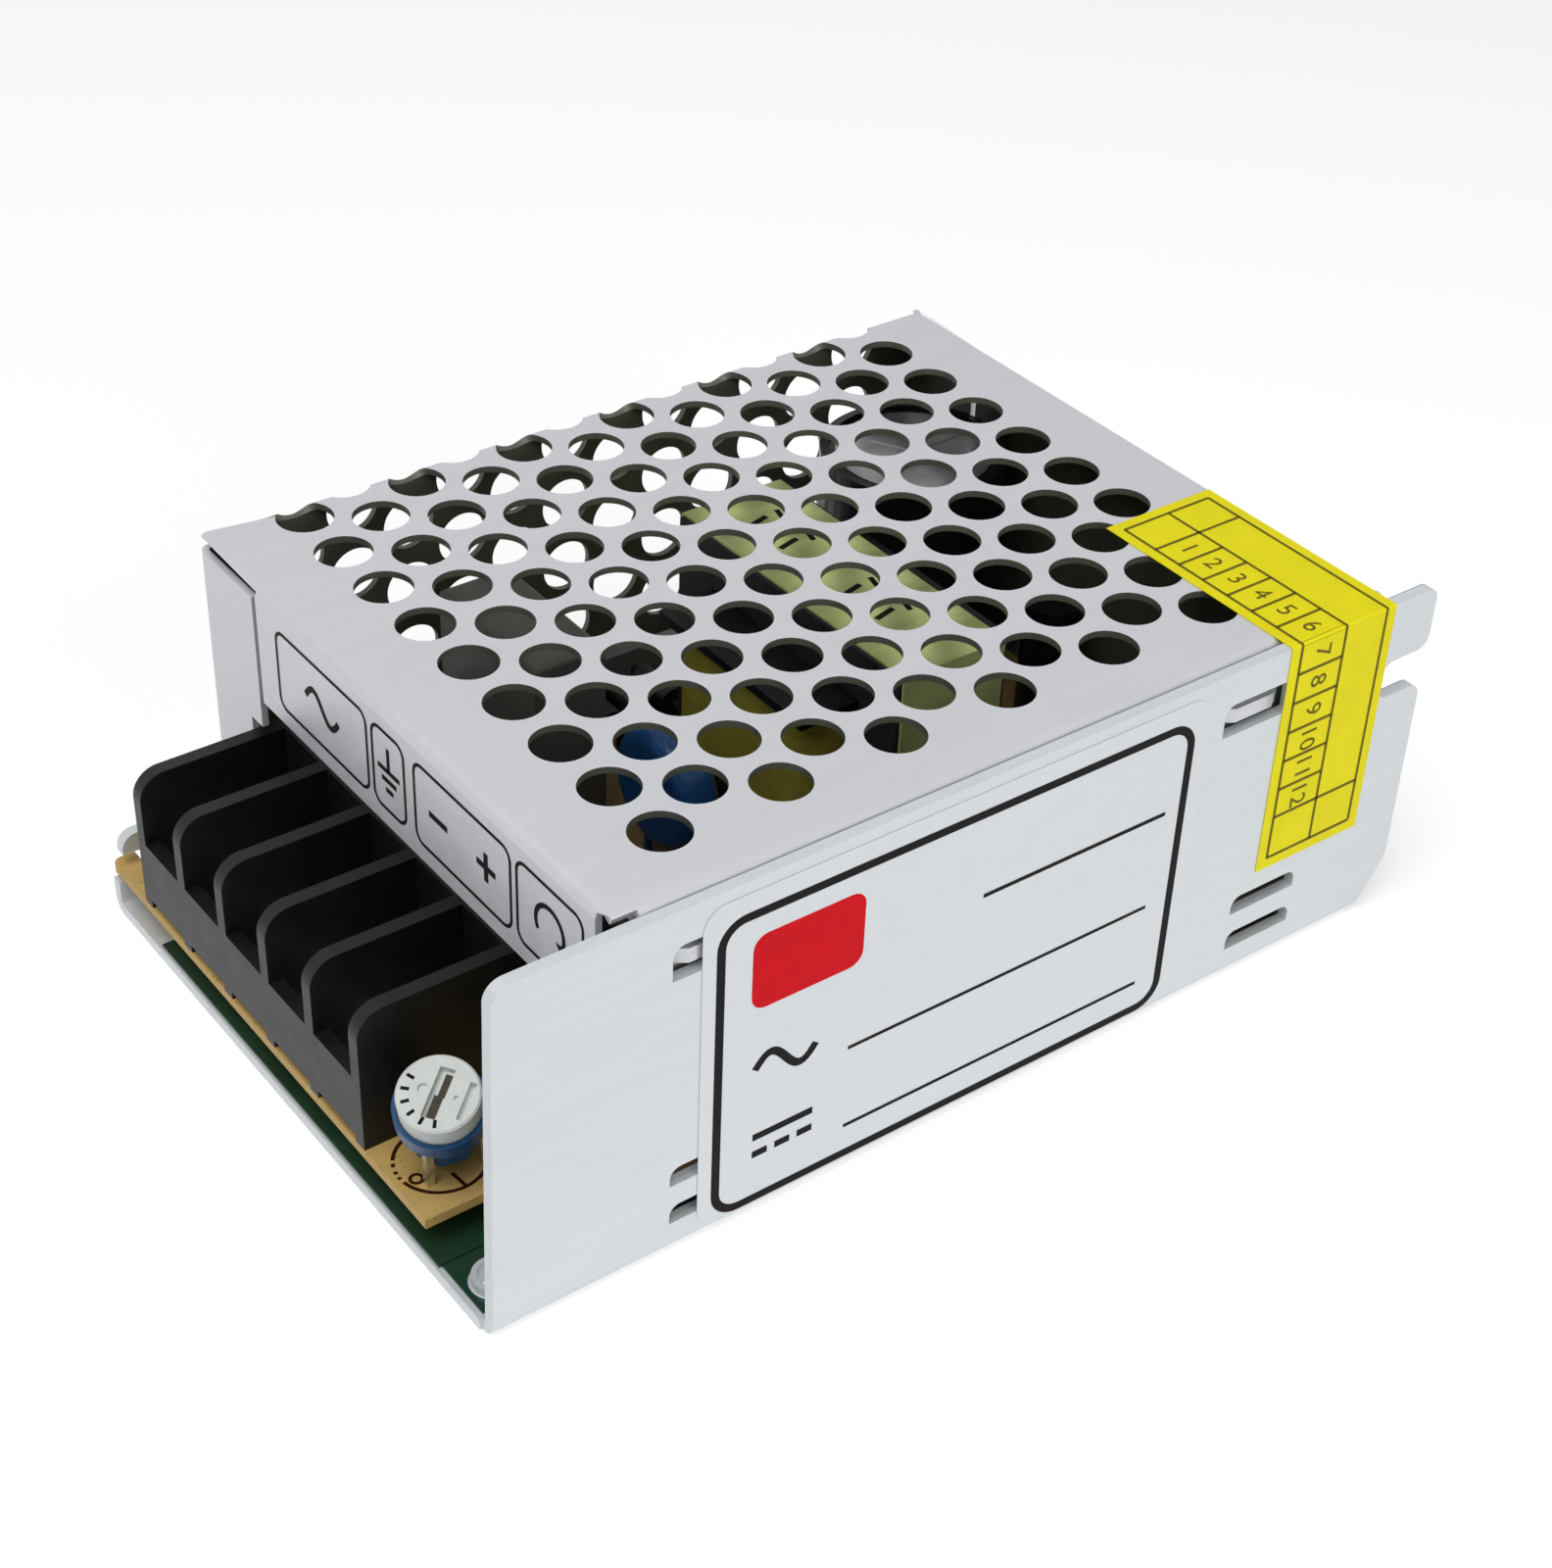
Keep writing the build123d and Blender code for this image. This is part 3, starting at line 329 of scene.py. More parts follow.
def add_line(mesh, place, points, width, low, high, closed=False):
    """Closed bar of even width along a line of points."""
    points = [Vector(p) for p in points]
    count = len(points)
    rows = []
    for n, point in enumerate(points):
        before = points[n - 1] if n or closed else point
        after = points[(n + 1) % count] if n < count - 1 or closed else point
        corners = bar_corners(point, before, after, width, low, high)
        rows.append([mesh.verts.new(place(p.x, p.y, w)) for p, w in corners])
    last = count if closed else count - 1
    for n in range(last):
        add_walls(mesh, rows[n], rows[(n + 1) % count])
    if not closed:
        mesh.faces.new(list(reversed(rows[0])))
        mesh.faces.new(rows[-1])


def add_bar(mesh, place, left, right, height, width, low, high):
    """Level bar between two ends."""
    add_line(mesh, place, [(left, height), (right, height)], width, low, high)


def flat_copy(data):
    """Mesh of a curve or of digits, which is then taken out of the scene."""
    holder = bpy.data.objects.new(data.name, data)
    bpy.context.scene.collection.objects.link(holder)
    flat = bpy.data.meshes.new_from_object(holder.evaluated_get(bpy.context.evaluated_depsgraph_get()))
    bpy.data.objects.remove(holder)
    bpy.data.curves.remove(data)
    return flat


def add_number(mesh, place, text, u, v, height, low, high):
    """Plain digits, centred on (u, v)."""
    curve = bpy.data.curves.new("digits", "FONT")
    curve.body = text
    curve.size = height
    curve.align_x = "CENTER"
    curve.align_y = "CENTER"
    curve.extrude = (high - low) / 2
    curve.resolution_u = 3
    flat = flat_copy(curve)
    middle = (low + high) / 2
    verts = [mesh.verts.new(place(u + p.co.x, v + p.co.y, middle + p.co.z)) for p in flat.vertices]
    for polygon in flat.polygons:
        mesh.faces.new([verts[n] for n in polygon.vertices])
    bpy.data.meshes.remove(flat)
    bmesh.ops.remove_doubles(mesh, verts=mesh.verts, dist=weld)


def make_piece(name, mesh, material, body="case"):
    """Turns a built mesh into a piece that rides on a body."""
    bmesh.ops.recalc_face_normals(mesh, faces=mesh.faces)
    data = bpy.data.meshes.new(name)
    mesh.to_mesh(data)
    mesh.free()
    data.materials.append(material)
    piece = bpy.data.objects.new(name, data)
    bpy.context.scene.collection.objects.link(piece)
    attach(piece, body)
    return piece


# Materials
def linear(red, green, blue):
    """Linear colour of a colour seen on screen, 0 to 255."""
    parts = []
    for value in (red, green, blue):
        value /= 255
        parts.append(value / 12.92 if value <= 0.04045 else ((value + 0.055) / 1.055) ** 2.4)
    return (*parts, 1.0)


def shaded(colour, factor):
    """Lighter or darker copy of a colour."""
    return (*[min(1.0, c * factor) for c in colour[:3]], 1.0)


def add_noise(nodes, links, source, grain, detail):
    """Noise of a grain, on scaled places of the object."""
    noise = nodes.new("ShaderNodeTexNoise")
    noise.inputs["Scale"].default_value = grain
    noise.inputs["Detail"].default_value = detail
    links.new(source.outputs["Vector"], noise.inputs["Vector"])
    return noise


def surface(
    name,
    colour,
    roughness=0.5,
    metallic=0.0,
    grain=600.0,
    stretch=(1.0, 1.0, 1.0),
    spread=0.08,
    bump=0.02,
    bump_grain=2500.0,
    coat=0.0,
    specular=0.5,
    speck=None,
    inside=1.0,
):
    """Surface with mottled colour, uneven gloss and a fine relief."""
    material = bpy.data.materials.new(name)
    material.use_nodes = True
    nodes, links = material.node_tree.nodes, material.node_tree.links
    shader = nodes["Principled BSDF"]
    shader.inputs["Metallic"].default_value = metallic
    shader.inputs["Coat Weight"].default_value = coat
    shader.inputs["Specular IOR Level"].default_value = specular
    place = nodes.new("ShaderNodeTexCoord")
    scale = nodes.new("ShaderNodeMapping")
    scale.inputs["Scale"].default_value = stretch
    links.new(place.outputs["Object"], scale.inputs["Vector"])

    mottle = add_noise(nodes, links, scale, grain, mottle_detail)
    tint = add_mottle(nodes, links, mottle, colour, spread)
    if speck:
        tint = add_specks(nodes, links, scale, tint, *speck)
    # Painted shade on what lies inside the case, where inside is below one
    if inside < 1:
        tint = paint_inside_shade(nodes, links, place, tint, inside)
    links.new(tint, shader.inputs["Base Color"])
    links.new(add_gloss(nodes, links, mottle, roughness), shader.inputs["Roughness"])
    links.new(add_relief(nodes, links, scale, bump, bump_grain), shader.inputs["Normal"])
    return material


def add_mottle(nodes, links, noise, colour, spread):
    """A lighter and a darker copy of a colour, mixed by a noise."""
    ramp = nodes.new("ShaderNodeValToRGB")
    ends = ((mottle_low, 1 - spread), (mottle_high, 1 + spread))
    for element, (position, factor) in zip(ramp.color_ramp.elements, ends):
        element.position = position
        element.color = shaded(colour, factor)
    links.new(noise.outputs["Fac"], ramp.inputs["Fac"])
    return ramp.outputs["Color"]


def add_gloss(nodes, links, noise, roughness):
    """Roughness that a noise varies a little."""
    gloss = nodes.new("ShaderNodeMapRange")
    gloss.inputs["To Min"].default_value = max(gloss_least, roughness - gloss_spread)
    gloss.inputs["To Max"].default_value = min(1.0, roughness + gloss_spread)
    links.new(noise.outputs["Fac"], gloss.inputs["Value"])
    return gloss.outputs["Result"]


def add_relief(nodes, links, scale, strength, grain):
    """Fine uneven relief."""
    fine = add_noise(nodes, links, scale, grain, fine_detail)
    relief = nodes.new("ShaderNodeBump")
    relief.inputs["Strength"].default_value = strength
    relief.inputs["Distance"].default_value = relief_height * MM
    links.new(fine.outputs["Fac"], relief.inputs["Height"])
    return relief.outputs["Normal"]


def add_specks(nodes, links, scale, tint, colour, grain, share):
    """Small scattered spots of a second colour."""
    cells = add_noise(nodes, links, scale, grain, speck_detail)
    cut = nodes.new("ShaderNodeMapRange")
    cut.inputs["From Min"].default_value = 1 - share
    cut.inputs["From Max"].default_value = 1 - share + speck_edge
    links.new(cells.outputs["Fac"], cut.inputs["Value"])
    mix = nodes.new("ShaderNodeMix")
    mix.data_type = "RGBA"
    links.new(cut.outputs["Result"], mix.inputs["Factor"])
    links.new(tint, mix.inputs["A"])
    mix.inputs["B"].default_value = colour
    return mix.outputs["Result"]


def paint_inside_shade(nodes, links, place, tint, share):
    """Painted shade: darker colour on what lies inside the closed part of the case."""
    start = at(inside_shade_start, shade_skin_depth, 0)
    split = nodes.new("ShaderNodeSeparateXYZ")
    links.new(place.outputs["Object"], split.inputs["Vector"])
    both = nodes.new("ShaderNodeMath")
    both.operation = "MULTIPLY"
    ranges = (("X", start.x, inside_shade_fade * MM), ("Y", start.y, shade_skin_fade * MM))
    for index, (axis, low, run) in enumerate(ranges):
        mask = nodes.new("ShaderNodeMapRange")
        mask.inputs["From Min"].default_value = low
        mask.inputs["From Max"].default_value = low + run
        links.new(split.outputs[axis], mask.inputs["Value"])
        links.new(mask.outputs["Result"], both.inputs[index])
    shade_mix = nodes.new("ShaderNodeMix")
    shade_mix.data_type = "RGBA"
    shade_mix.blend_type = "MULTIPLY"
    links.new(both.outputs["Value"], shade_mix.inputs["Factor"])
    links.new(tint, shade_mix.inputs["A"])
    shade_mix.inputs["B"].default_value = (share, share, share, 1.0)
    return shade_mix.outputs["Result"]


def metal(name, colour, roughness, metallic=0.85, stretch=(1.0, 1.0, 1.0), **more):
    """Surface with a share of metal in it."""
    return surface(name, colour, roughness, metallic, stretch=stretch, **more)


def plastic(name, colour, roughness, **more):
    """Smooth moulded or lacquered surface."""
    return surface(name, colour, roughness, specular=0.3, **more)


def print_ink(name, colour, roughness=0.5, grain=900, spread=0.2):
    """Flat printed colour."""
    return surface(name, colour, roughness, grain=grain, spread=spread, specular=0.1)


sheet_metal = {
    "chassis_sheet": metal(
        "chassis_sheet",
        linear(220, 225, 228),
        0.42,
        0.30,
        rolled,
        grain=900,
        spread=0.025,
        bump=0.05,
        # Painted shade on the chassis inside the case
        inside=0.3,
    ),
    "cover_sheet": metal(
        "cover_sheet", linear(218, 219, 224), 0.40, 0.35, rolled, grain=700, spread=0.02, bump=0.04
    ),
    "screw_steel": metal("screw_steel", linear(205, 203, 196), 0.30, 0.95, spread=0.06),
    "tinned_metal": metal("tinned_metal", linear(206, 205, 198), 0.28, 0.95, spread=0.08),
    "copper_wire": metal(
        "copper_wire", linear(178, 104, 58), 0.32, 0.8, (0.3, 0.3, 4.0), grain=1500, spread=0.30, bump=0.5
    ),
}

mouldings = {
    "black_plastic": surface(
        "black_plastic",
        linear(13, 14, 14),
        0.45,
        grain=500,
        spread=0.20,
        bump=0.12,
        bump_grain=3500,
        specular=0.35,
        speck=(linear(44, 46, 45), 2600.0, 0.25),
    ),
    "blue_plastic": plastic("blue_plastic", linear(0, 70, 118), 0.32, grain=800, spread=0.18, bump=0.05),
    "white_plastic": plastic(
        "white_plastic", linear(226, 230, 226), 0.45, grain=900, spread=0.05, bump=0.05
    ),
    # Darker than the film capacitor's own light grey: painted shade on the capacitor inside the case
    "grey_plastic": plastic("grey_plastic", linear(92, 91, 86), 0.42, grain=700, spread=0.06, bump=0.06),
    "device_mould": surface("device_mould", linear(34, 34, 36), 0.5, grain=1200, spread=0.2, bump=0.12),
    "grey_pad": surface("grey_pad", linear(150, 154, 158), 0.7, grain=900, spread=0.06),
}

board_and_film = {
    "insulating_film": surface(
        "insulating_film", linear(28, 62, 46), 0.25, grain=300, spread=0.15, coat=0.2
    ),
    "board": surface(
        "board",
        linear(206, 172, 104),
        0.5,
        grain=420,
        stretch=(1.0, 2.5, 1.0),
        spread=0.08,
        bump=0.06,
        specular=0.2,
        speck=(linear(176, 140, 80), 1500.0, 0.34),
        # Painted shade on the board inside the case
        inside=0.3,
    ),
}

wound_parts = {
    "ferrite": surface(
        "ferrite", linear(44, 45, 47), 0.6, 0.1, grain=1200, spread=0.25, bump=0.15, specular=0.2
    ),
    # Olive, darker than the core tape: the same yellow tape with painted shade on the winding
    "winding_tape": plastic(
        "winding_tape", linear(168, 160, 66), 0.35, grain=350, stretch=(1, 1, 4), spread=0.14, bump=0.10
    ),
    "core_tape": plastic(
        "core_tape", linear(218, 226, 150), 0.32, grain=260, stretch=(1, 4, 1), spread=0.08, bump=0.10
    ),
}

small_parts = {
    "capacitor_sleeve": plastic(
        "capacitor_sleeve", linear(22, 21, 23), 0.32, grain=400, spread=0.2, coat=0.15
    ),
    "blue_lacquer": plastic(
        "blue_lacquer", linear(30, 78, 132), 0.30, grain=500, spread=0.12, bump=0.15, coat=0.2
    ),
    "fuse_glass": surface("fuse_glass", linear(205, 212, 206), 0.10, grain=500, spread=0.05, coat=0.5),
    "dark_lacquer": surface("dark_lacquer", linear(40, 54, 42), 0.35, grain=600, spread=0.2, bump=0.15),
    "resistor_lacquer": surface("resistor_lacquer", linear(172, 152, 118), 0.45, grain=700, spread=0.1),
}

finishes = sheet_metal | mouldings | board_and_film | wound_parts | small_parts

slot_of = {part["node"]: part["material_slot"] for part in frame["record"]["subparts"]}
for node, thing in frame["nodes"].items():
    thing.data.materials.clear()
    thing.data.materials.append(finishes[slot_of[node]])

# Materials of the pieces that are added
# Dark copy of the cover metal: painted shade on the cover's inside, its hole walls and its flange behind the wall
cover_painted_shade = metal("cover_painted_shade", linear(88, 92, 80), 0.5, 0.2, rolled, grain=700, spread=0.05)
vent_metal = metal("vent_metal", linear(196, 198, 200), 0.30, 0.9, spread=0.05)
label_paper = surface("label_paper", linear(230, 234, 237), 0.45, 0.1, grain=500, spread=0.012, bump=0.03)
seal_paper = surface(
    "seal_paper", linear(250, 237, 30), 0.5, grain=300, spread=0.04, bump=0.05, specular=0.1
)
grey_ink = surface("grey_ink", linear(196, 202, 204), 0.45, grain=900, spread=0.1)
black_ink = print_ink("black_ink", linear(18, 12, 14), 0.55)
red_ink = print_ink("red_ink", linear(222, 6, 26), grain=700, spread=0.05)
olive_ink = print_ink("olive_ink", linear(112, 102, 22))
brown_ink = print_ink("brown_ink", linear(58, 28, 14))
# Bottom of the dial's slot: the dark wiper, partly painted shade in the deep slit
wiper_and_shade = print_ink("wiper_and_shade", linear(84, 78, 68), 0.7)


# Cover: folds of the sheet
neutral = sheet_bend - sheet / 2
fold_run = neutral * math.pi / 2
fold_front = cover_low.x + sheet_bend
fold_rear = cover_high.x - sheet_bend
fold_near = sheet_near + sheet_bend
fold_far = sheet_far - sheet_bend


def folded(run, lift):
    """Advance and drop of a run past the start of a fold."""
    if run <= 0:
        return run, -lift
    angle = min(run, fold_run) / neutral
    reach = sheet_bend + lift
    drop = sheet_bend - reach * math.cos(angle) + max(0.0, run - fold_run)
    return reach * math.sin(angle), drop


def cover_face(u, v, w):
    """Maps the flat sheet to the folded cover, with a lift from its outside."""
    front, rear = fold_front - u, u - fold_rear
    if v > fold_far:
        advance, drop = folded(v - fold_far, w)
        y, z = fold_far + advance, cover_top - drop
        if front > 0:
            advance, drop = folded(front, w)
            return at(fold_front - advance, sheet_far - drop, z)
        if rear > 0:
            advance, drop = folded(rear, w)
            return at(fold_rear + advance, sheet_far - drop, z)
        return at(u, y, z)
    if v < fold_near:
        advance, drop = folded(fold_near - v, w)
        return at(u, fold_near - advance, cover_top - drop)
    if front > 0:
        advance, drop = folded(front, w)
        return at(fold_front - advance, v, cover_top - drop)
    advance, drop = folded(rear, w)
    return at(fold_rear + advance, v, cover_top - drop)


def run_down(drop):
    """Run past the start of a fold that reaches a drop."""
    return fold_run + drop - sheet_bend


hole_end = fold_far + run_down(cover_top - lip_clear)


# Cover: the flat sheet, folded and given its thickness
def cover_outline():
    """Edge of the flat sheet."""
    short = fold_stop_share * fold_run
    near_edge = sheet_near + relief_depth
    near_low = fold_near - run_down(near_drop)
    left, right = cover_low.x + relief_length, cover_high.x - relief_length
    front_end, rear_end = fold_front - short, fold_rear + short
    strip_low = fold_front - run_down(strip_drop)
    rear_low = fold_rear + run_down(cover_top - rear_foot)
    flange = run_down(sheet_far - end_flange_edge)
    flange_low = run_down(sheet_far - block_edge)
    foot, lip, block = (fold_far + run_down(cover_top - z) for z in (sheet_foot, lip_clear, block_clear))
    head = fold_far + fold_run + corner_slit
    return [
        (front_end, near_edge),
        (left, near_edge),
        (left, near_low),
        (right, near_low),
        (right, near_edge),
        (rear_end, near_edge),
        (rear_end, strip_ends[0]),
        (rear_low, strip_ends[0]),
        (rear_low, strip_ends[1]),
        (rear_end, strip_ends[1]),
        (rear_end, fold_far),
        (fold_rear, fold_far),
        (fold_rear, head),
        (fold_rear + flange, head),
        (fold_rear + flange, lip),
        (fold_rear, lip),
        (fold_rear, foot),
        (fold_front, foot),
        (fold_front, lip),
        (fold_front - flange_low, lip),
        (fold_front - flange_low, block),
        (fold_front - flange, block),
        (fold_front - flange, head),
        (fold_front, head),
        (fold_front, fold_far),
        (front_end, fold_far),
        (front_end, strip_ends[1]),
        (strip_low, strip_ends[1]),
        (strip_low, strip_ends[0]),
        (front_end, strip_ends[0]),
    ]


def cover_openings():
    """Round holes in staggered rows, and the two windows of the lugs."""
    rings = []
    for column in range(hole_columns):
        x = first_hole_x + hole_pitch_x * column
        y = first_hole_y + hole_pitch_y / 2 * (column % 2)
        while y < hole_end - hole_radius:
            rings.append(ring(x, y, hole_radius, hole_steps))
            y += hole_pitch_y
    reach = lug_height / 2 + lug_window
    for start in lug_starts:
        low, high = (fold_near - run_down(cover_top - z) for z in (lug_middle - reach, lug_middle + reach))
        left, right = start + lug_end_gap, start + lug_length - lug_end_gap
        rings.append([(left, low), (right, low), (right, high), (left, high)])
    return rings


def flat_sheet(rings):
    """Filled flat mesh between an outline and the openings in it."""
    curve = bpy.data.curves.new("flat", "CURVE")
    curve.dimensions = "2D"
    curve.fill_mode = "BOTH"
    for points in rings:
        spline = curve.splines.new("POLY")
        spline.points.add(len(points) - 1)
        for point, (x, y) in zip(spline.points, points):
            point.co = (x, y, 0, 1)
        spline.use_cyclic_u = True
    flat = flat_copy(curve)
    mesh = bmesh.new()
    mesh.from_mesh(flat)
    bpy.data.meshes.remove(flat)
    bmesh.ops.remove_doubles(mesh, verts=mesh.verts, dist=sheet_weld)
    return mesh


def cut_folds(mesh):
    """Cuts the flat mesh into narrow strips where it is folded."""
    cuts = []
    for n in range(fold_steps + 1):
        run = fold_run * n / fold_steps
        cuts.append(((0, fold_far + run, 0), (0, 1, 0)))
        cuts.append(((0, fold_near - run, 0), (0, 1, 0)))
        cuts.append(((fold_front - run, 0, 0), (1, 0, 0)))
        cuts.append(((fold_rear + run, 0, 0), (1, 0, 0)))
    for spot, normal in cuts:
        everything = list(mesh.verts) + list(mesh.edges) + list(mesh.faces)
        bmesh.ops.bisect_plane(mesh, geom=everything, dist=sheet_weld, plane_co=spot, plane_no=normal)


def add_lug(mesh, start):
    """Strip pushed out of the near flange, each end set a little into the flange."""
    left = start + lug_end_gap - lug_seat
    right = start + lug_length - lug_end_gap + lug_seat
    crest = sheet_near - lug_out
    inner, crest_inner = sheet_near + sheet, crest + sheet
    run = (
        (left, sheet_near),
        (left + lug_slope, crest),
        (right - lug_slope, crest),
        (right, sheet_near),
        (right, inner),
        (right - lug_slope, crest_inner),
        (left + lug_slope, crest_inner),
        (left, inner),
    )
    add_plate(mesh, at, run, lug_middle - lug_height / 2, lug_middle + lug_height / 2)


def in_hole_field(spot):
    """Whether a place of the flat sheet lies where the round holes are."""
    return fold_front < spot.x < fold_rear and fold_near < spot.y < hole_end


def thicken(flat):
    """Folded sheet with both its sides and its edges, with painted shade on its inside, on its hole walls and on
    its flange behind the wall.
    """
    mesh = bmesh.new()
    layers = []
    for lift in (0.0, -sheet):
        layers.append([mesh.verts.new(cover_face(v.co.x, v.co.y, lift)) for v in flat.verts])
    over, under = layers
    flat.verts.index_update()
    for part in flat.faces:
        numbers = [v.index for v in part.verts]
        outside = mesh.faces.new([over[n] for n in numbers])
        # Painted shade on the outside of the flange behind the wall
        outside.material_index = int(part.calc_center_median().y < fold_near - fold_run)
        # Painted shade on the whole inside of the sheet
        inside = mesh.faces.new([under[n] for n in reversed(numbers)])
        inside.material_index = 1
    for edge in flat.edges:
        if len(edge.link_faces) == 1:
            a, b = (v.index for v in edge.verts)
            rim = mesh.faces.new((over[a], over[b], under[b], under[a]))
            # Painted shade on the walls of the round holes
            rim.material_index = int(in_hole_field((edge.verts[0].co + edge.verts[1].co) / 2))
    return mesh


def make_cover():
    flat = flat_sheet([cover_outline()] + cover_openings())
    cut_folds(flat)
    mesh = thicken(flat)
    flat.free()
    for start in lug_starts:
        add_lug(mesh, start)
    piece = make_piece("folded_cover", mesh, finishes["cover_sheet"])
    piece.data.materials.append(cover_painted_shade)
    piece.data.shade_smooth()
    piece.data.set_sharp_from_angle(angle=math.radians(crease_angle))
    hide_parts("perforated_cover")


# Film flap beside the wall, cut round the collar
def make_film_flap():
    mesh = bmesh.new()
    base = face(at(0, 0, base_top), (1, 0, 0), (0, 1, 0))
    hole = arc(*collar_middle, collar_clear, 360 - flap_cut_angle, flap_cut_angle, flap_steps)
    outline = [
        (flap_front, flap_near),
        (flap_rear, flap_near),
        (flap_rear, collar_middle[1] - flap_cut_half),
        *hole,
        (flap_rear, collar_middle[1] + flap_cut_half),
        (flap_rear, flap_far),
        (flap_front, flap_far),
    ]
    add_plate(mesh, base, outline, 0.0, flap_thickness)
    make_piece("film_flap", mesh, finishes["insulating_film"])


# Rating plate: rounded white plate, black rule, red badge and two plain symbols
def make_rating_plate():
    mesh = bmesh.new()
    outline = rounded(plate_left, plate_foot, plate_right, plate_head, plate_corner)
    add_plate(mesh, wall_face, outline, band_gap, paper)
    make_piece("rating_plate", mesh, label_paper)
    make_rating_rules()

    mesh = bmesh.new()
    badge = rounded(badge_left, badge_foot, badge_right, badge_head, badge_corner)
    add_plate(mesh, wall_face, badge, paper, paper + ink)
    make_piece("rating_badge", mesh, red_ink)


def make_rating_rules():
    mesh = bmesh.new()
    low, high = paper, paper + ink
    rule = rounded(rule_left, rule_foot, rule_right, rule_head, rule_corner, rule_corner_steps)
    add_line(mesh, wall_face, rule, rule_width, low, high, closed=True)
    for left, right, height, width in plate_bars:
        add_bar(mesh, wall_face, left, right, height, width, low, high)
    wave = sine(symbol_left, symbol_right, wave_middle, wave_rise)
    add_line(mesh, wall_face, wave, wave_width, low, high)
    add_bar(mesh, wall_face, symbol_left, symbol_right, direct_height, direct_width, low, high)
    for n in range(dash_count):
        left = symbol_left + n * dash_pitch
        add_bar(mesh, wall_face, left, left + dash_length, dash_height, direct_width, low, high)
    make_piece("rating_rules", mesh, black_ink)


# Front strip: four rounded frames with the usual terminal symbols
mark_low, mark_high = print_gap, print_gap + ink
strip_middle = (strip_foot + strip_head) / 2


def strip_place(index, share=0.5):
    """Place along the strip, at a share of the way across a frame."""
    far, near = strip_frames[index]
    return -(far + (near - far) * share)


def add_wave(mesh):
    """One wave, for alternating current."""
    u = strip_place(0)
    wave = sine(u - strip_wave_half, u + strip_wave_half, strip_middle, strip_wave_rise)
    add_line(mesh, strip_face, wave, heavy_line, mark_low, mark_high)


def add_earth(mesh):
    """Stem and three bars, for earth."""
    u = strip_place(1)
    stem = [(u, strip_middle + earth_head), (u, strip_middle + earth_foot)]
    add_line(mesh, strip_face, stem, fine_line, mark_low, mark_high)
    for n, half in enumerate(earth_halves):
        v = strip_middle + earth_foot - n * earth_pitch
        add_bar(mesh, strip_face, u - half, u + half, v, fine_line, mark_low, mark_high)


def add_signs(mesh):
    """Minus and plus, for direct current."""
    for share in (minus_share, plus_share):
        u = strip_place(2, share)
        add_bar(mesh, strip_face, u - sign_half, u + sign_half, strip_middle, heavy_line, mark_low, mark_high)
    u = strip_place(2, plus_share)
    upright = [(u, strip_middle - sign_half), (u, strip_middle + sign_half)]
    add_line(mesh, strip_face, upright, heavy_line, mark_low, mark_high + sign_step)


def add_turn_arrow(mesh):
    """Bent arrow, for the trimmer."""
    curve = arc(strip_place(3), strip_middle, turn_radius, turn_start, turn_end)
    add_line(mesh, strip_face, curve, fine_line, mark_low, mark_high)
    tip_u, tip_v = curve[-1]
    tip = [(tip_u + du, tip_v + dv) for du, dv in turn_tip]
    add_plate(mesh, strip_face, tip, mark_low, mark_high)


def make_strip_marks():
    mesh = bmesh.new()
    for far, near in strip_frames:
        outline = rounded(-far, strip_foot, -near, strip_head, strip_corner)
        add_line(mesh, strip_face, outline, strip_line, mark_low, mark_high, closed=True)
    add_wave(mesh)
    add_earth(mesh)
    add_signs(mesh)
    add_turn_arrow(mesh)
    make_piece("strip_marks", mesh, black_ink)


# Seal band: yellow strip folded over the edge, with a ruled grid and plain numbers
seal_flat = seal_far - seal_bend
seal_turn = seal_bend * math.pi / 2
seal_length = seal_flat + seal_turn + cover_top - seal_bend - seal_foot
seal_width = seal_right - seal_left
seal_folds = [seal_flat + seal_turn * n / seal_fold_steps for n in range(seal_fold_steps + 1)]


def seal_face(s, t, w):
    """Maps a run s along the seal band, counted from its far end, and a place t across it."""
    base = band_gap + w
    x = seal_left + t
    if s <= seal_flat:
        return at(x, seal_far - s, cover_top + base)
    if s <= seal_flat + seal_turn:
        angle = (s - seal_flat) / seal_bend
        reach = seal_bend + base
        y = seal_bend - reach * math.sin(angle)
        return at(x, y, cover_top - seal_bend + reach * math.cos(angle))
    return at(x, -base, cover_top - seal_bend - (s - seal_flat - seal_turn))


def make_seal():
    mesh = bmesh.new()
    corners = ((0, 0), (seal_width, 0), (seal_width, paper), (0, paper))
    rows = []
    for s in [0.0] + seal_folds + [seal_length]:
        rows.append([mesh.verts.new(seal_face(s, t, w)) for t, w in corners])
    for a, b in zip(rows, rows[1:]):
        add_walls(mesh, a, b)
    mesh.faces.new(rows[0])
    mesh.faces.new(list(reversed(rows[-1])))
    make_piece("seal_band", mesh, seal_paper)
    make_seal_grid()


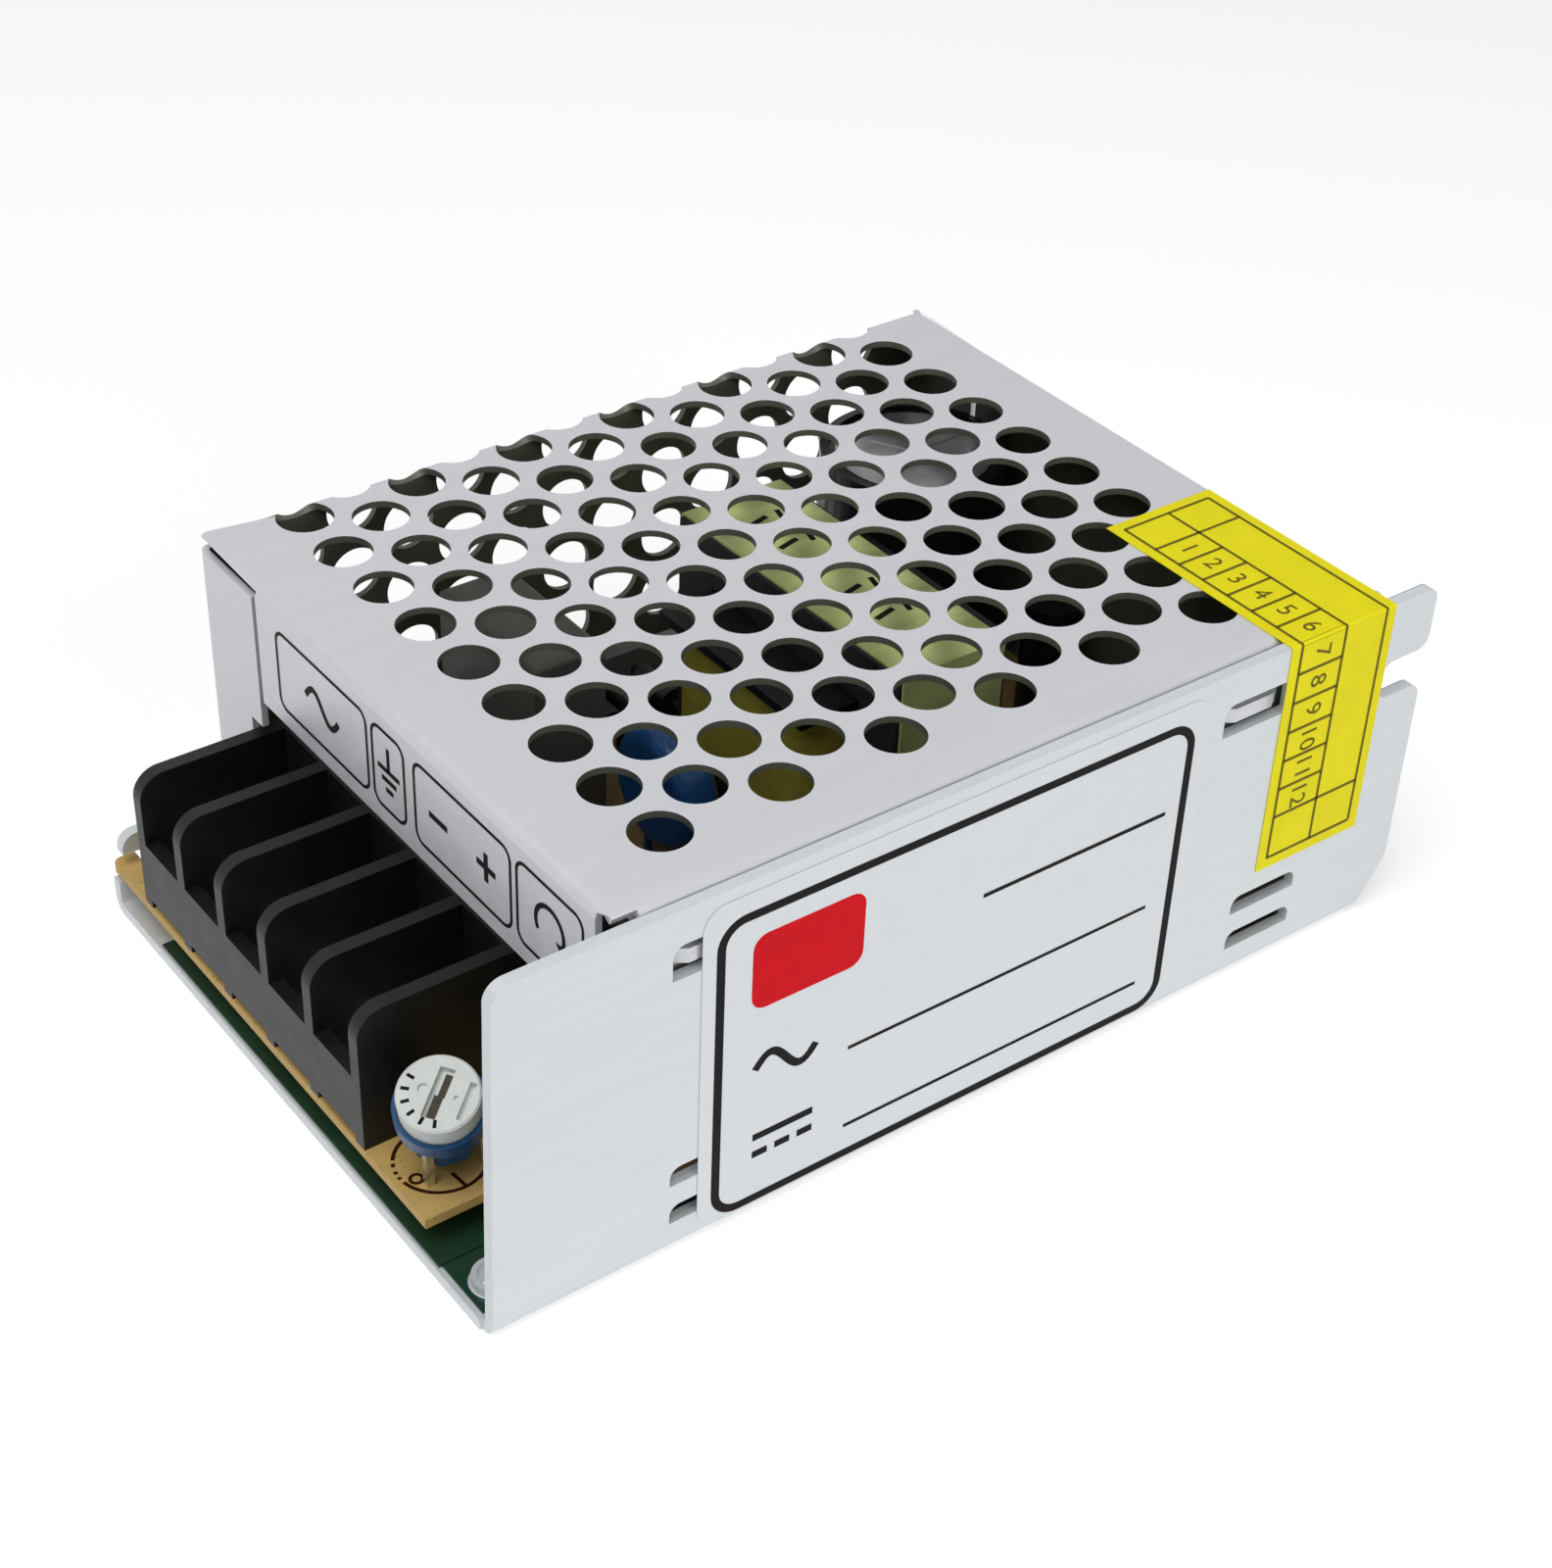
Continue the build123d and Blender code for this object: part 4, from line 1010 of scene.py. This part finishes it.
def make_seal_grid():
    mesh = bmesh.new()
    low, high = paper, paper + ink
    start, end = seal_margin, seal_length - seal_margin
    left, right = seal_margin, seal_width - seal_margin

    def rule(s0, t0, s1, t1):
        points = [(s0, t0)] + [(s, t0) for s in seal_folds if s0 < s < s1] + [(s1, t1)]
        add_line(mesh, seal_face, points, seal_line, low, high)

    for t in (left, seal_split, right):
        rule(start, t, end, t)
    step = (seal_flat - seal_first) / (seal_cells // 2)
    last = seal_first + step * seal_cells
    for s in (start, seal_first, last, end):
        rule(s, left, s, right)
    for n in range(1, seal_cells):
        s = seal_first + step * n
        rule(s, left, s, seal_split)
    for n in range(seal_cells):
        s = seal_first + step * (n + 0.5)
        add_number(mesh, seal_face, str(n + 1), s, (left + seal_split) / 2, seal_digit, low, high)
    make_piece("seal_grid", mesh, olive_ink)


# Print on the board: a broken ring round the trimmer, a tick and the mark of a pin
def make_board_print():
    mesh = bmesh.new()
    for start, end in ring_arcs:
        run = arc(*ring_middle, ring_radius, start, end, ring_steps)
        add_line(mesh, board_face, run, ring_line, 0.0, print_top)
    add_line(mesh, board_face, ring_tick, ring_line, 0.0, print_top)
    mark = ring(*pin_mark_middle, pin_mark_radius, pin_mark_steps)
    add_line(mesh, board_face, mark, pin_mark_line, 0.0, print_top, closed=True)
    make_piece("board_print", mesh, brown_ink)


# Print on the sleeve of the lying capacitor: two stripes with short bars between them
def make_sleeve_print():
    low_end, high_end = ends_of(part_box("output_capacitor"))
    radius = (high_end.x - low_end.x) / 2
    axis_x, axis_z = (low_end.x + high_end.x) / 2, (low_end.z + high_end.z) / 2

    def lying(u, v, w):
        angle = u / radius
        reach = radius + print_gap + w
        return at(axis_x + reach * math.sin(angle), v, axis_z + reach * math.cos(angle))

    mesh = bmesh.new()
    for side in (-1, 1):
        stripe = [(side * stripe_run, low_end.y + stripe_start + n) for n in range(stripe_points)]
        add_line(mesh, lying, stripe, stripe_line, 0, ink)
    for n in range(sleeve_bars):
        v = low_end.y + sleeve_bar_first + sleeve_bar_pitch * n
        bar = [(sleeve_bar_step * k, v) for k in range(-sleeve_bar_half, sleeve_bar_half + 1)]
        add_line(mesh, lying, bar, sleeve_bar_line, 0, ink)
    make_piece("output_sleeve_print", mesh, grey_ink)


# Bare metal top of the standing capacitor, with its star of scores
def make_can_top():
    low_end, high_end = ends_of(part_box("bulk_capacitor"))
    middle = (low_end + high_end) / 2
    can = (high_end.x - low_end.x) / 2
    top = face(at(middle.x, middle.y, high_end.z - can_sink), (1, 0, 0), (0, 1, 0))
    mesh = bmesh.new()
    add_plate(mesh, top, ring(0, 0, can - can_rim, can_steps), 0.0, can_plate)
    for angle in score_angles:
        direction = Vector((math.cos(math.radians(angle)), math.sin(math.radians(angle))))
        ends = [tuple(direction * -score_half), tuple(direction * score_half)]
        add_line(mesh, top, ends, score_line, can_plate, score_top + angle * score_step)
    make_piece("bulk_can_top", mesh, vent_metal)


# Print strokes along the tape of the transformer
def make_tape_strokes():
    low_end, high_end = ends_of(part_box("core_tape"))
    top = face(at(0, 0, high_end.z), (1, 0, 0), (0, 1, 0))
    mesh = bmesh.new()
    x = (low_end.x + high_end.x) / 2
    for n in range(stroke_count):
        y = low_end.y + stroke_first + n * stroke_pitch
        for start, end, width in strokes:
            points = [(x + start[0], y + start[1]), (x + end[0], y + end[1])]
            add_line(mesh, top, points, width, print_gap, print_top)
    make_piece("tape_strokes", mesh, black_ink)


# Dial of the trimmer: its ticks and the dark bottom of its slot
def dial_frame():
    """Middle of the dial's top, and the directions across it and up it."""
    joint = next(j for j in frame["joints"] if j["name"] == "trimmer_turn")
    pivot, axis = Vector(joint["pos_m"]), Vector(joint["axis"]).normalized()
    points = [v.co for v in frame["nodes"]["trimmer_rotor"].data.vertices]
    height = max((p - pivot).dot(axis) for p in points)
    across = Vector((0, 0, 1)).cross(axis).normalized()
    return pivot + axis * height, across, axis.cross(across)


def make_dial_ticks():
    middle, across, up = dial_frame()
    dial = face(middle, across, up)
    mesh = bmesh.new()
    for angle in range(tick_first, tick_last + 1, tick_step):
        a = math.radians(angle)
        ends = [(radius * math.cos(a), radius * math.sin(a)) for radius in (tick_inner, tick_outer)]
        add_line(mesh, dial, ends, tick_line, 0.0, tick_top)
    make_piece("dial_ticks", mesh, black_ink, body="trimmer_dial")


def make_dial_slot():
    middle, across, up = dial_frame()
    turn = math.radians(slot_turn)
    along = across * math.cos(turn) + up * math.sin(turn)
    side = up * math.cos(turn) - across * math.sin(turn)
    slot = face(middle, along, side)
    half = slot_width / 2
    # Plates at the slot's bottom: the dark wiper, and painted shade in the slit
    mesh = bmesh.new()
    for offset, start, end in slot_arms:
        left, right = offset - half, offset + half
        add_plate(mesh, slot, [(left, start), (right, start), (right, end), (left, end)], slot_low, slot_high)
    make_piece("dial_slot", mesh, wiper_and_shade, body="trimmer_dial")


make_cover()
make_film_flap()
make_rating_plate()
make_strip_marks()
make_seal()
make_board_print()
make_sleeve_print()
make_can_top()
make_tape_strokes()
make_dial_ticks()
make_dial_slot()


# Floor, light and camera
def seen_rays(nodes, links):
    """One where the ray comes from the camera, a reflection or a transmission."""
    path = nodes.new("ShaderNodeLightPath")
    first = nodes.new("ShaderNodeMath")
    first.operation = "MAXIMUM"
    links.new(path.outputs["Is Camera Ray"], first.inputs[0])
    links.new(path.outputs["Is Glossy Ray"], first.inputs[1])
    second = nodes.new("ShaderNodeMath")
    second.operation = "MAXIMUM"
    links.new(first.outputs["Value"], second.inputs[0])
    links.new(path.outputs["Is Transmission Ray"], second.inputs[1])
    return second.outputs["Value"]


def backdrop_material(name, colour, glow):
    """White in the camera's and reflections' view, plain diffuse for everything else."""
    material = bpy.data.materials.new(name)
    material.use_nodes = True
    nodes, links = material.node_tree.nodes, material.node_tree.links
    shader = nodes["Principled BSDF"]
    shader.inputs["Base Color"].default_value = colour
    shader.inputs["Roughness"].default_value = floor_roughness
    shader.inputs["Specular IOR Level"].default_value = 0.0
    light = nodes.new("ShaderNodeEmission")
    light.inputs["Strength"].default_value = glow
    both = nodes.new("ShaderNodeAddShader")
    links.new(shader.outputs["BSDF"], both.inputs[0])
    links.new(light.outputs["Emission"], both.inputs[1])
    mix = nodes.new("ShaderNodeMixShader")
    links.new(seen_rays(nodes, links), mix.inputs["Fac"])
    links.new(shader.outputs["BSDF"], mix.inputs[1])
    links.new(both.outputs["Shader"], mix.inputs[2])
    links.new(mix.outputs["Shader"], nodes["Material Output"].inputs["Surface"])
    return material


def make_floor():
    half = floor_half
    corners = [(-half, -half, 0), (half, -half, 0), (half, half, 0), (-half, half, 0)]
    data = bpy.data.meshes.new("floor")
    data.from_pydata(corners, [], [(0, 1, 2, 3)])
    data.materials.append(backdrop_material("floor", floor_colour, floor_glow))
    floor = bpy.data.objects.new("floor", data)
    floor.location.z = -floor_drop
    bpy.context.scene.collection.objects.link(floor)


def make_world():
    world = bpy.data.worlds.new("studio")
    bpy.context.scene.world = world
    world.use_nodes = True
    nodes, links = world.node_tree.nodes, world.node_tree.links
    nodes.clear()
    mix = nodes.new("ShaderNodeMixShader")
    output = nodes.new("ShaderNodeOutputWorld")
    links.new(seen_rays(nodes, links), mix.inputs["Fac"])
    for index, strength in ((1, sky_light), (2, sky_seen)):
        light = nodes.new("ShaderNodeBackground")
        light.inputs["Strength"].default_value = strength
        links.new(light.outputs["Background"], mix.inputs[index])
    links.new(mix.outputs["Shader"], output.inputs["Surface"])


def make_lamp(name, place, power):
    data = bpy.data.lights.new(name, "AREA")
    data.size = lamp_size
    data.energy = power
    lamp = bpy.data.objects.new(name, data)
    lamp.location = place
    lamp.rotation_euler = (Vector(lamp_aim) - Vector(place)).to_track_quat("-Z", "Y").to_euler()
    bpy.context.scene.collection.objects.link(lamp)


def make_camera():
    level_share = math.cos(camera_pitch)
    forward = Vector(
        (math.cos(camera_yaw) * level_share, math.sin(camera_yaw) * level_share, -math.sin(camera_pitch))
    )
    level = Vector((math.sin(camera_yaw), -math.cos(camera_yaw), 0))
    above = level.cross(forward)
    right = level * math.cos(camera_roll) + above * math.sin(camera_roll)
    up = above * math.cos(camera_roll) - level * math.sin(camera_roll)
    data = bpy.data.cameras.new("camera")
    data.sensor_fit = "HORIZONTAL"
    data.sensor_width = sensor_width
    data.lens = camera_focal * sensor_width / image_width
    data.clip_start = camera_nearest
    camera = bpy.data.objects.new("camera", data)
    turn = Matrix((right, up, -forward)).transposed().to_4x4()
    camera.matrix_world = Matrix.Translation(at(*camera_place)) @ turn
    bpy.context.scene.collection.objects.link(camera)
    bpy.context.scene.camera = camera


make_floor()
make_world()
for lamp_name, lamp_place, lamp_power in lamps:
    make_lamp(lamp_name, lamp_place, lamp_power)
make_camera()
bpy.context.scene.view_settings.view_transform = "Standard"
